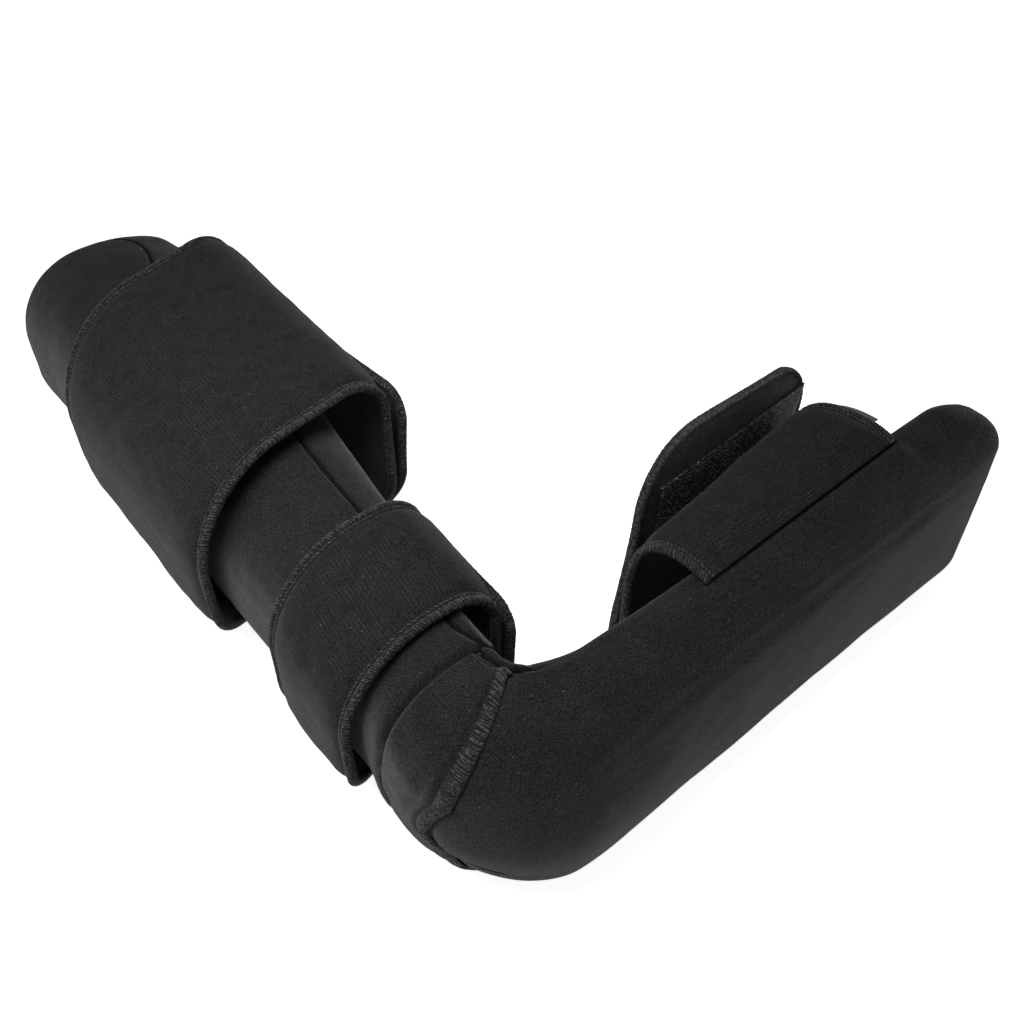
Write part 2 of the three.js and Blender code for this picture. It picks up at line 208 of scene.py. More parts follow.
def smooth_rows(rows, at_key, key, at):
    """One column of a table between its rows, smooth and never beyond them."""
    places = column(rows, at_key)
    values = column(rows, key)
    at = np.asarray(at, float)
    slopes = np.diff(values) / np.diff(places)
    i = np.searchsorted(places[1:-1], at, side="left")
    here = slopes[i]
    before = slopes[np.maximum(i - 1, 0)]
    after = slopes[np.minimum(i + 1, len(slopes) - 1)]

    def ease(a, b):
        same = a * b > 0
        return np.where(same, 2 * a * b / np.where(same, a + b, 1), 0)

    span = places[i + 1] - places[i]
    t = np.clip((at - places[i]) / span, 0, 1)
    bend = t * (1 - t) * span
    lean = ease(before, here) * (1 - t) - ease(here, after) * t
    return lerp(values[i], values[i + 1], t * t * (3 - 2 * t)) + bend * lean


def section(key, along):
    return smooth_rows(TROUGH, "along", key, along)


def wall_height(along):
    return section("depth", along) - section("corner", along)


def trough_point(across, along, under):
    """Point of the trough: across -3 at the lower rim to 3 at the upper rim, under the outer face."""
    reach = np.where(across < 0, section("low", along), section("high", along))
    corner = section("corner", along)
    part = np.abs(across)
    turn = np.clip(part - 1, 0, 1) * math.pi / 2
    wall = np.maximum(part - 2, 0)
    radius = corner - under
    curl = section("roll", along) * wall ** 2
    side = (reach - corner) * np.minimum(part, 1) + radius * np.sin(turn) - curl
    bulge = section("crown", along) * np.cos(np.minimum(part, 2) * math.pi / 4) ** 2
    inward = corner - radius * np.cos(turn) + wall * wall_height(along) - bulge
    bend = np.clip((along - LEG_STRAIGHT) / HEEL_RADIUS, 0, math.pi / 2)
    x = HEEL_RADIUS * (1 - np.cos(bend)) + np.maximum(along - HEEL_END, 0)
    y = HEEL_RADIUS * (1 - np.sin(bend)) + np.maximum(LEG_STRAIGHT - along, 0)
    point = [x + np.cos(bend) * inward, y + np.sin(bend) * inward, np.sign(across) * side]
    return np.stack(np.broadcast_arrays(*point), -1)


def ripple(points, size, seed):
    """Soft unevenness between about -1 and 1: a few waves of about that size, millimetres."""
    rng = np.random.default_rng(seed)
    total = np.zeros(points.shape[:-1])
    waves = 9
    for _ in range(waves):
        direction = rng.normal(size=3)
        direction *= 2 * math.pi / (size * rng.uniform(0.7, 1.5) * np.linalg.norm(direction))
        total += np.sin(points @ direction + rng.uniform(0, 2 * math.pi))
    return total / math.sqrt(waves)


def unevenness(points, waves):
    """Ripples of several sizes together: rows of height, size and seed."""
    return sum(high * ripple(points, size, seed) for high, size, seed in waves)


def unit(vectors):
    return vectors / np.maximum(np.linalg.norm(vectors, axis=-1, keepdims=True), 1e-12)


def surface_normal(place, u, v, small):
    along_u = place(u + small, v) - place(u - small, v)
    along_v = place(u, v + small) - place(u, v - small)
    return unit(np.cross(along_u, along_v))


def walked(points):
    """Length walked along a line of points, at each of them."""
    return np.concatenate([[0], np.cumsum(np.linalg.norm(np.diff(points, axis=0), axis=1))])


def with_middles(places):
    """Places in order, with one more between each two."""
    return np.unique(np.concatenate([places, (places[1:] + places[:-1]) / 2]))


def line_length(points):
    return float(np.linalg.norm(np.diff(points, axis=0), axis=1).sum())


# Meshes

def piece_from(name, points, faces, material, flat=None, seams=None):
    """A named piece from points in millimetres. flat: each point's place on the flat cloth.
    seams: 0 to 1, how deep in a seam each point lies; it is painted shade that darkens the colour,
    and the deepest faces get a near-black painted shadow finish."""
    mesh = bpy.data.meshes.new(name)
    places = points * MM + CORNER
    places[:, 2] = np.maximum(places[:, 2], 0)
    mesh.from_pydata(places.tolist(), [], faces)
    if flat is not None:
        corner_points = np.zeros(len(mesh.loops), int)
        mesh.loops.foreach_get("vertex_index", corner_points)
        layer = mesh.uv_layers.new(name="cloth")
        layer.data.foreach_set("uv", (flat[corner_points] * MM).astype(np.float32).ravel())
    # The seam value is painted shade: the plush colour darkens by it
    if seams is not None:
        layer = mesh.attributes.new("seam", "FLOAT", "POINT")
        layer.data.foreach_set("value", seams.astype(np.float32))
    mesh.shade_smooth()
    mesh.materials.append(material)
    # Painted shadow: faces deep in a seam get a near-black finish without sheen
    if seams is not None:
        mesh.materials.append(SEAM_SHADOW)
        painted_shadow = seams[np.array(faces)].mean(1) > 0.5
        mesh.polygons.foreach_set("material_index", painted_shadow.astype(np.int32))
    piece = bpy.data.objects.new(name, mesh)
    bpy.context.scene.collection.objects.link(piece)
    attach(piece, "root")
    return piece


def closed_sheet(front, back):
    """Points and faces of a closed sheet between two grids of points."""
    rows, columns = front.shape[:2]
    index = np.arange(rows * columns).reshape(rows, columns)
    under = index + rows * columns

    def quads(a, b, c, d):
        return np.stack([a, b, c, d], -1).reshape(-1, 4)

    def tiles(grid, turned):
        quad = [grid[:-1, :-1], grid[:-1, 1:], grid[1:, 1:], grid[1:, :-1]]
        return quads(*(quad[::-1] if turned else quad))

    faces = np.concatenate([
        tiles(index, False),
        tiles(under, True),
        quads(index[:-1, 0], index[1:, 0], under[1:, 0], under[:-1, 0]),
        quads(index[:-1, -1], under[:-1, -1], under[1:, -1], index[1:, -1]),
        quads(index[0, :-1], under[0, :-1], under[0, 1:], index[0, 1:]),
        quads(index[-1, :-1], index[-1, 1:], under[-1, 1:], under[-1, :-1]),
    ])
    points = np.concatenate([front.reshape(-1, 3), back.reshape(-1, 3)])
    return points, faces.tolist()


def tubes(paths, side, radius):
    """Closed thread tubes along paths[thread, step]. side: a direction across each thread."""
    threads, steps = paths.shape[:2]
    ahead = unit(np.gradient(paths, axis=1))
    side = np.broadcast_to(side[:, None, :], paths.shape)
    second = unit(np.cross(ahead, side))
    first = np.cross(second, ahead)
    turn = np.arange(THREAD_SIDES) * 2 * math.pi / THREAD_SIDES
    ring = np.cos(turn)[:, None] * first[..., None, :] + np.sin(turn)[:, None] * second[..., None, :]
    thick = np.full(steps, radius)
    thick[[0, -1]] = radius * THREAD_TIP
    points = paths[..., None, :] + thick[:, None, None] * ring
    index = np.arange(threads * steps * THREAD_SIDES).reshape(threads, steps, THREAD_SIDES)
    near, far = index[:, :-1], index[:, 1:]
    around = np.stack([near, np.roll(near, -1, 2), np.roll(far, -1, 2), far], -1).reshape(-1, 4)
    caps = np.concatenate([index[:, 0, ::-1], index[:, -1]])
    return points.reshape(-1, 3), around.tolist() + caps.tolist()


def joined(*shapes):
    """Points and faces of several shapes as one."""
    points = []
    faces = []
    count = 0
    for shape_points, shape_faces in shapes:
        faces += [[corner + count for corner in face] for face in shape_faces]
        points.append(shape_points)
        count += len(shape_points)
    return np.concatenate(points), faces


# Shader effects that several finishes share

VALUE = "NodeSocketFloat"


def effect_group(name, inputs, outputs):
    """An empty shader node group with a Vector input, named values and named outputs."""
    group = bpy.data.node_groups.new(name, "ShaderNodeTree")
    group.interface.new_socket("Vector", in_out="INPUT", socket_type="NodeSocketVector")
    for label, value in inputs.items():
        group.interface.new_socket(label, in_out="INPUT", socket_type=VALUE).default_value = value
    for label in outputs:
        group.interface.new_socket(label, in_out="OUTPUT", socket_type=VALUE)
    return group, group.nodes.new("NodeGroupInput"), group.nodes.new("NodeGroupOutput")


def feed(tree, socket, value):
    if isinstance(value, bpy.types.NodeSocket):
        tree.links.new(value, socket)
    else:
        socket.default_value = value


def math_node(tree, operation, *values):
    node = tree.nodes.new("ShaderNodeMath")
    node.operation = operation
    for socket, value in zip(node.inputs, values):
        feed(tree, socket, value)
    return node.outputs[0]


def stretched(tree, value, low, high):
    """A value spread out so that low to high becomes 0 to 1."""
    node = tree.nodes.new("ShaderNodeMapRange")
    feed(tree, node.inputs["Value"], value)
    node.inputs["From Min"].default_value = low
    node.inputs["From Max"].default_value = high
    return node.outputs["Result"]


def noise_node(tree, vector, size_mm, detail, roughness):
    node = tree.nodes.new("ShaderNodeTexNoise")
    node.inputs["Detail"].default_value = detail
    node.inputs["Roughness"].default_value = roughness
    tree.links.new(vector, node.inputs["Vector"])
    tree.links.new(math_node(tree, "DIVIDE", 1 / MM, size_mm), node.inputs["Scale"])
    return node.outputs["Fac"]


def brushed_nap_group():
    """Short brushed fibres: flecks, and patches where the pile leans another way."""
    group, inside, outside = effect_group(
        "Brushed nap", {"Fibre mm": 0.9, "Patch mm": 24.0}, ["Fleck", "Patch"]
    )
    vector = inside.outputs["Vector"]
    fleck = noise_node(group, vector, inside.outputs["Fibre mm"], detail=3.0, roughness=0.7)
    patch = noise_node(group, vector, inside.outputs["Patch mm"], detail=3.0, roughness=0.55)
    group.links.new(stretched(group, fleck, low=0.4, high=0.7), outside.inputs["Fleck"])
    group.links.new(stretched(group, patch, low=0.3, high=0.7), outside.inputs["Patch"])
    return group


RIB_WANDER = 0.9  # ribs and loops stray this far, millimetres
LOOP_SHARE = 0.4  # height of the loops against the ribs


def knit_ribs_group():
    """Fine broken ribs of a knit with the loops along them, on the flat cloth's own measure."""
    group, inside, outside = effect_group(
        "Knit ribs", {"Rib mm": 1.35, "Loop mm": 0.9, "Break mm": 5.0}, ["Rib", "Height"]
    )
    vector = inside.outputs["Vector"]
    split = group.nodes.new("ShaderNodeSeparateXYZ")
    group.links.new(vector, split.inputs[0])
    wander = noise_node(group, vector, inside.outputs["Break mm"], detail=2.0, roughness=0.6)
    centred = math_node(group, "SUBTRACT", wander, 0.5)
    off = math_node(group, "MULTIPLY", centred, RIB_WANDER * MM)

    def wave(axis, pitch):
        place = math_node(group, "ADD", split.outputs[axis], off)
        turns = math_node(group, "MULTIPLY", place, 2 * math.pi / MM)
        turns = math_node(group, "DIVIDE", turns, pitch)
        return math_node(group, "MULTIPLY_ADD", math_node(group, "SINE", turns), 0.5, 0.5)

    rib = wave("X", inside.outputs["Rib mm"])
    loop = wave("Y", inside.outputs["Loop mm"])
    kept = math_node(group, "MULTIPLY", rib, stretched(group, wander, low=0.3, high=0.6))
    looped = math_node(group, "MULTIPLY", rib, loop)
    height = math_node(group, "MULTIPLY_ADD", looped, LOOP_SHARE, kept)
    group.links.new(kept, outside.inputs["Rib"])
    group.links.new(height, outside.inputs["Height"])
    return group


def lint_group():
    """Sparse pale specks of lint that catch in a pile."""
    group, inside, outside = effect_group("Lint", {"Spacing mm": 9.0, "Speck": 0.035}, ["Mask"])
    spots = group.nodes.new("ShaderNodeTexVoronoi")
    group.links.new(inside.outputs["Vector"], spots.inputs["Vector"])
    scale = math_node(group, "DIVIDE", 1 / MM, inside.outputs["Spacing mm"])
    group.links.new(scale, spots.inputs["Scale"])
    mask = math_node(group, "LESS_THAN", spots.outputs["Distance"], inside.outputs["Speck"])
    group.links.new(mask, outside.inputs["Mask"])
    return group


BRUSHED_NAP = brushed_nap_group()
KNIT_RIBS = knit_ribs_group()
LINT = lint_group()


def finish_base(name, roughness, specular, sheen=0.0, sheen_roughness=0.3):
    """A finish with its Principled shader; the constant values sit on its own sockets."""
    material = bpy.data.materials.new(name)
    material.use_nodes = True
    tree = material.node_tree
    shader = tree.nodes["Principled BSDF"]
    shader.inputs["Roughness"].default_value = roughness
    shader.inputs["Specular IOR Level"].default_value = specular
    shader.inputs["Sheen Weight"].default_value = sheen
    shader.inputs["Sheen Roughness"].default_value = sheen_roughness
    return material, tree, shader


def place_group(tree, group, vector, **values):
    node = tree.nodes.new("ShaderNodeGroup")
    node.node_tree = group
    tree.links.new(vector, node.inputs["Vector"])
    for label, value in values.items():
        node.inputs[label.replace("_", " ")].default_value = value
    return node.outputs


GREEN_CAST = 1.02


def black(shade):
    """A near-black, very slightly greenish, as dyed black cloth is."""
    return (shade, shade * GREEN_CAST, shade, 1.0)


def colour_mix(tree, share, first, second):
    """A colour between two, by a value over the surface."""
    node = tree.nodes.new("ShaderNodeMix")
    node.data_type = "RGBA"
    factor = next(s for s in node.inputs if s.name == "Factor" and s.type == "VALUE")
    ends = [s for s in node.inputs if s.type == "RGBA"]
    tree.links.new(share, factor)
    for socket, value in zip(ends, (first, second)):
        feed(tree, socket, value)
    return next(s for s in node.outputs if s.type == "RGBA")


def shaded(tree, share, shades):
    """A black between two shades, by a value over the surface."""
    return colour_mix(tree, share, black(shades[0]), black(shades[1]))


def dye(tree, shader, colour):
    tree.links.new(colour, shader.inputs["Base Color"])


def bump(tree, shader, height, distance, strength):
    node = tree.nodes.new("ShaderNodeBump")
    node.inputs["Distance"].default_value = distance * MM
    node.inputs["Strength"].default_value = strength
    tree.links.new(height, node.inputs["Height"])
    tree.links.new(node.outputs["Normal"], shader.inputs["Normal"])


def object_place(tree):
    return tree.nodes.new("ShaderNodeTexCoord").outputs["Object"]


def cloth_place(tree):
    node = tree.nodes.new("ShaderNodeUVMap")
    node.uv_map = "cloth"
    return node.outputs["UV"]


LINT_SHADE = 0.13
# Near-black of the painted shade and painted shadow in the seams
PAINTED_SHADOW_BLACK = 0.002


def plush_finish():
    """Brushed plush, with painted shade darkening it where a seam lies deep."""
    material, tree, shader = finish_base(
        "plush_cover", roughness=0.95, specular=0.1, sheen=0.2, sheen_roughness=0.25
    )
    seam = tree.nodes.new("ShaderNodeAttribute")
    seam.attribute_name = "seam"
    place = object_place(tree)
    nap = place_group(tree, BRUSHED_NAP, place, Fibre_mm=0.42, Patch_mm=14.0)
    lint = place_group(tree, LINT, place, Spacing_mm=3.6, Speck=0.055)
    dark = shaded(tree, nap["Patch"], (0.003, 0.005))
    light = shaded(tree, nap["Patch"], (0.042, 0.052))
    pile = colour_mix(tree, nap["Fleck"], dark, light)
    pile = colour_mix(tree, lint["Mask"], pile, black(LINT_SHADE))
    # Painted shade: the colour turns near-black where the seam value is high
    dye(tree, shader, colour_mix(tree, seam.outputs["Fac"], pile, black(PAINTED_SHADOW_BLACK)))
    bump(tree, shader, nap["Fleck"], distance=0.3, strength=0.5)
    return material


def knit_finish(name, depth, sheen):
    """Ribbed knit of the straps, with painted shade between the ribs. depth: how light its yarn is, 1
    for the outside.
    """
    material, tree, shader = finish_base(
        name, roughness=0.92, specular=0.1, sheen=sheen, sheen_roughness=0.25
    )
    place = object_place(tree)
    ribs = place_group(tree, KNIT_RIBS, cloth_place(tree), Rib_mm=1.4, Loop_mm=1.0, Break_mm=6.0)
    nap = place_group(tree, BRUSHED_NAP, place, Fibre_mm=0.42, Patch_mm=12.0)
    lint = place_group(tree, LINT, place, Spacing_mm=4.2, Speck=0.05)
    # Painted shade: the yarn is painted darker between the ribs than on them
    shaded_between_ribs = shaded(tree, nap["Fleck"], (0.003 * depth, 0.035 * depth))
    lit_on_ribs = shaded(tree, nap["Fleck"], (0.008 * depth, 0.054 * depth))
    yarn = colour_mix(tree, ribs["Rib"], shaded_between_ribs, lit_on_ribs)
    dye(tree, shader, colour_mix(tree, lint["Mask"], yarn, black(LINT_SHADE)))
    height = math_node(tree, "MULTIPLY_ADD", ribs["Height"], 0.5, nap["Fleck"])
    bump(tree, shader, height, distance=0.25, strength=0.5)
    return material


def thread_finish():
    material, tree, shader = finish_base("overlock_thread", roughness=0.7, specular=0.25, sheen=0.1)
    nap = place_group(tree, BRUSHED_NAP, object_place(tree), Fibre_mm=1.1, Patch_mm=6.0)
    dye(tree, shader, shaded(tree, nap["Fleck"], (0.006, 0.13)))
    bump(tree, shader, nap["Fleck"], distance=0.08, strength=0.5)
    return material


HOOK_GLINT = 1.6  # painted glints: a higher power leaves fewer hooks painted bright


def hook_finish(name, roughness, shades):
    material, tree, shader = finish_base(name, roughness, specular=0.5)
    nap = place_group(tree, BRUSHED_NAP, object_place(tree), Fibre_mm=0.8, Patch_mm=8.0)
    # Painted glints: a few hooks are coloured near-white, standing in for highlights
    glint = math_node(tree, "POWER", nap["Fleck"], HOOK_GLINT)
    dye(tree, shader, shaded(tree, glint, shades))
    bump(tree, shader, nap["Fleck"], distance=0.1, strength=0.4)
    return material


def tab_finish():
    material, tree, shader = finish_base("tab_satin", roughness=0.42, specular=0.4)
    weave = place_group(tree, KNIT_RIBS, cloth_place(tree), Rib_mm=0.6, Loop_mm=0.6, Break_mm=9.0)
    # Painted shade: the satin is painted darker between the ribs of its weave
    dye(tree, shader, shaded(tree, weave["Rib"], (0.08, 0.13)))
    bump(tree, shader, weave["Height"], distance=0.06, strength=0.5)
    return material


def seam_shadow_finish():
    """Painted shadow for the faces deepest in a seam: near-black plush, no sheen."""
    material, tree, shader = finish_base("seam_painted_shadow", roughness=0.95, specular=0.1)
    nap = place_group(tree, BRUSHED_NAP, object_place(tree), Fibre_mm=0.5, Patch_mm=9.0)
    dye(tree, shader, shaded(tree, nap["Fleck"], (PAINTED_SHADOW_BLACK, 0.01)))
    return material


PLUSH = plush_finish()
SEAM_SHADOW = seam_shadow_finish()
KNIT = knit_finish("strap_knit", depth=1.0, sheen=0.09)
# The flap's inner face: the strap knit painted 2.8 times lighter, partly a lighter loop lining, partly
# painted fill light on a face in shade
FLAP_LINING_AND_FILL_LIGHT = knit_finish("flap_lining_and_fill_light", depth=2.8, sheen=0.15)
OVERLOCK = thread_finish()
# Nylon hooks: near-black, with painted glints up to 0.7
HOOK_NYLON = hook_finish("hook_nylon", roughness=0.22, shades=(0.006, 0.7))
HOOK_BACKING = hook_finish("hook_backing", roughness=0.7, shades=(0.004, 0.012))
TAB_SATIN = tab_finish()


# Pads

RIM_START = 2.7
SEAM_LINE = 2.3
SEAM_TO_RIM = 0.06  # the seam stays this far from the rim, across the wall
NEAR_SEAM = np.array([0.004, 0.009, 0.015, 0.022, 0.032, 0.045, 0.065])
NEAR_SEAM_END = 0.09
GRID_LINES = dict(back=19, corner=26, below_seam=7, above_seam=9, rim=10, end=8)
PAD_STEP = 2.0
COVER_STEP = 5
EDGE_LEAST = 0.02  # share of the thickness that is left at the very edge
JOINT_TIGHT = 20  # the sewn edges of the two pads are this many times less round
SWELL_SLACK = 0.7  # the pad starts this much smaller than the solid, then its cover swells
SWELL_MOST = 1.9
TIGHTEN_MOST = 1.6  # across its corners the cover draws tight instead
SWELL_FRAMES = 20
SWELL_PRESSURE = 4.0


def half_lines():
    """Grid lines over half the trough: half the back, a corner, the wall to its seam, the rim."""
    count = GRID_LINES
    back = np.linspace(0, 1, count["back"])
    corner = np.linspace(1, 2, count["corner"])[1:]
    to_seam = np.linspace(2, SEAM_LINE - NEAR_SEAM_END, count["below_seam"])[1:]
    to_rim = np.linspace(SEAM_LINE + NEAR_SEAM_END, RIM_START, count["above_seam"])
    seam = [(SEAM_LINE - NEAR_SEAM)[::-1], [SEAM_LINE], SEAM_LINE + NEAR_SEAM]
    turn = np.linspace(0, math.pi / 2, count["rim"])[1:]
    rim = RIM_START + (3 - RIM_START) * np.sin(turn)
    return np.concatenate([back, corner, to_seam, *seam, to_rim, rim])


def coarse_half_lines():
    """Fewer grid lines over half the trough, for the cover that is blown up."""
    wall = [2.15, SEAM_LINE, 2.5, RIM_START, 3]
    return np.concatenate([np.linspace(0, 1, 5), np.linspace(1, 2, 7)[1:], wall])


def both_halves(half):
    return np.concatenate([-half[:0:-1], half])


def rim_seam_place(along):
    return smooth_rows(RIM_SEAM, "along", "across", along)


def across_on_wall(line, along):
    """Place across the trough of a grid line: the wall's lines follow the seam and the rim."""
    part = np.abs(line)
    rim = 3 - PAD / 2 / wall_height(along)
    seam = np.minimum(rim_seam_place(along), rim - SEAM_TO_RIM)
    low = lerp(2, seam, (part - 2) / (SEAM_LINE - 2))
    middle = lerp(seam, rim, (part - SEAM_LINE) / (RIM_START - SEAM_LINE))
    high = lerp(rim, 3, (part - RIM_START) / (3 - RIM_START))
    wall = np.where(part < SEAM_LINE, low, np.where(part < RIM_START, middle, high))
    return np.sign(line) * np.where(part < 2, part, wall)


def end_lines(start, end, step):
    """Grid lines along a pad, close together where its two ends are rounded."""
    turn = PAD / 2 * (1 - np.cos(np.linspace(0, math.pi / 2, GRID_LINES["end"])))
    count = round((end - start - PAD) / step)
    middle = np.linspace(start + PAD / 2, end - PAD / 2, count)[1:-1]
    return np.concatenate([start + turn, middle, (end - turn)[::-1]])


def round_edge(distance):
    reach = np.clip(distance / (PAD / 2), 0, 1)
    return PAD / 2 * np.maximum(np.sqrt(1 - (1 - reach) ** 2), EDGE_LEAST)


def from_joint(distance, end):
    """Distance to an end of a pad; where the two pads are sewn together their edges are tight."""
    return distance * (JOINT_TIGHT if abs(end - PAD_JOINT) < 1 else 1)


def cuff_line(across, edges):
    return lerp(edges["back"], edges["rim"], (across / 3) ** 2)


# Relief of the pads. The rim seam dips, the padding swells beside it, and the strip between seam and
# rim stands up round the bend. The covers swell beside the cuff: height, where that ends across the
# wall, and where it rises and falls, from the cuff's edge.
SEAM_SWELL = dict(high=0.3, wide=6)
SEAM_DIP = dict(deep=0.9, wide=0.9)
SEAM_FADE = 8
STRIP_RISE = 1.6
STRIP_EDGE = (2.4, 2.55)
STRIP_FADE = 10
LEG_STRIP = (LEG_STRAIGHT - 32, LEG_STRAIGHT - 2)
LEG_SWELL = dict(high=2.5, across=(2.4, 2.6), rise=(-16, -3), fall=(-1.6, -0.4))
FOOT_SWELL = dict(high=1.8, across=(2.35, 2.6), rise=(-1, 3), fall=(6, 34))
# Painted shade on the leg pad along the cuff's upper edge: how dark, and how wide, millimetres
CUFF_EDGE_SHADOW = dict(dark=0.45, wide=1.4)
STRAP_SEAM = dict(deep=0.9, wide=1.2, swell=0.9, swell_below=5, swell_wide=4, ends=(-0.03, 0.02))
LEG_UNEVEN = [(0.2, 32, 3), (0.06, 9, 4)]
FOOT_UNEVEN = [(0.14, 34, 5), (0.05, 10, 6)]
INSIDE_UNEVEN = [(0.3, 30, 8)]


def from_rim_seam(across, along):
    """Distance up the wall from the rim seam."""
    return (np.abs(across) - rim_seam_place(along)) * wall_height(along)


def before_seam_end(along, fade):
    return 1 - smoothstep(along, RIM_SEAM_END - SEAM_FADE, RIM_SEAM_END + fade)


def rim_seam_relief(across, along):
    """The seam sinks into the pad, and the padding stands up beside it."""
    off = from_rim_seam(across, along)
    swell = SEAM_SWELL["high"] * bell(off, SEAM_SWELL["wide"])
    dip = SEAM_DIP["deep"] * bell(off, SEAM_DIP["wide"])
    return before_seam_end(along, SEAM_FADE) * (swell - dip)


def rim_seam_shade(across, along):
    """0 to 1 in the seam of the outer and the inner cover: how much painted shade darkens it there."""
    return bell(from_rim_seam(across, along), SEAM_DIP["wide"]) * before_seam_end(along, SEAM_FADE)


def leg_seam_shade(across, along):
    """Painted shade in the rim seam, and beside the cuff where the cuff's edge meets the leg pad."""
    # A band of painted shade along the cuff's upper edge
    fold = bell(along - cuff_line(across, CUFF_UPPER), CUFF_EDGE_SHADOW["wide"])
    fold = fold * (np.abs(across) < STRIP_EDGE[0])
    return np.maximum(rim_seam_shade(across, along), CUFF_EDGE_SHADOW["dark"] * fold)


def cuff_swell(across, along, edges, swell):
    """The cover swells where the cuff's edge holds it down."""
    off = along - cuff_line(across, edges)
    there = 1 - smoothstep(np.abs(across), *swell["across"])
    rise = smoothstep(off, *swell["rise"]) * (1 - smoothstep(off, *swell["fall"]))
    return swell["high"] * rise * there


def leg_relief(across, along, points):
    strip = STRIP_RISE * smoothstep(along, *LEG_STRIP) * smoothstep(np.abs(across), *STRIP_EDGE)
    swell = cuff_swell(across, along, CUFF_UPPER, LEG_SWELL)
    return rim_seam_relief(across, along) + swell + strip + unevenness(points, LEG_UNEVEN)


def foot_relief(across, along, points):
    strip = STRIP_RISE * smoothstep(np.abs(across), *STRIP_EDGE) * before_seam_end(along, STRIP_FADE)
    seams = rim_seam_relief(across, along) + strap_seam_relief(across, points)
    swell = cuff_swell(across, along, CUFF_LOWER, FOOT_SWELL)
    return seams + swell + strip + unevenness(points, FOOT_UNEVEN) + gathers(across, along)


def strap_seam_relief(across, points):
    """The pad sinks where the foot strap is sewn on, and stands up on the sole side of it."""
    heel, toe = FOOT_EDGES
    share = (points[..., 0] - heel["at"]) / FOOT_WIDTH
    over = points[..., 1] - lerp(heel["seam"], toe["seam"], np.clip(share, 0, 1))
    on_upper_side = across > 0.5
    there = smoothstep(np.minimum(share, 1 - share), *STRAP_SEAM["ends"]) * on_upper_side
    swell = STRAP_SEAM["swell"] * bell(over + STRAP_SEAM["swell_below"], STRAP_SEAM["swell_wide"])
    return there * (swell - STRAP_SEAM["deep"] * bell(over, STRAP_SEAM["wide"]))


# Small folds of the foot cover. across, along: middle of a fold. turn: its direction from along,
# degrees. long, wide: half sizes. deep: depth, millimetres.
FOOT_FOLDS = [
    dict(across=2.2, along=377, turn=20, long=9, wide=2.2, deep=0.8),
    dict(across=2.0, along=375, turn=8, long=10, wide=2.4, deep=0.7),
    dict(across=1.8, along=369, turn=-4, long=8, wide=2.2, deep=0.5),
    dict(across=0.9, along=478, turn=9, long=14, wide=3.2, deep=0.4),
    dict(across=0.75, along=508, turn=8, long=15, wide=3.4, deep=0.45),
    dict(across=1.0, along=536, turn=11, long=12, wide=3.2, deep=0.35),
]
FOLD_SHOULDER = dict(share=0.5, wide=2.2)  # the cover rises beside a fold, against its depth and width


def gathers(across, along):
    total = np.zeros(np.broadcast(across, along).shape)
    around = section("corner", along) * math.pi / 2
    for fold in FOOT_FOLDS:
        over = (across - fold["across"]) * around
        run = along - fold["along"]
        turn = math.radians(fold["turn"])
        length = run * math.cos(turn) + over * math.sin(turn)
        width = over * math.cos(turn) - run * math.sin(turn)
        shoulder = bell(width, fold["wide"] * FOLD_SHOULDER["wide"])
        crease = bell(width, fold["wide"]) - FOLD_SHOULDER["share"] * shoulder
        total -= fold["deep"] * bell(length, fold["long"]) * crease
    return total


def pad_faces(line, along, start, end):
    """Middle surface of a pad, the direction into the trough and half the thickness there."""
    across = across_on_wall(line, along)

    def middle(a, b):
        return trough_point(a, b, PAD / 2)

    inward = surface_normal(middle, across, along, 1e-3)
    to_rim = (3 - np.abs(across)) * wall_height(along)
    to_end = np.minimum(from_joint(along - start, start), from_joint(end - along, end))
    half = np.minimum(round_edge(to_rim), round_edge(to_end))
    return across, middle(across, along), inward, half


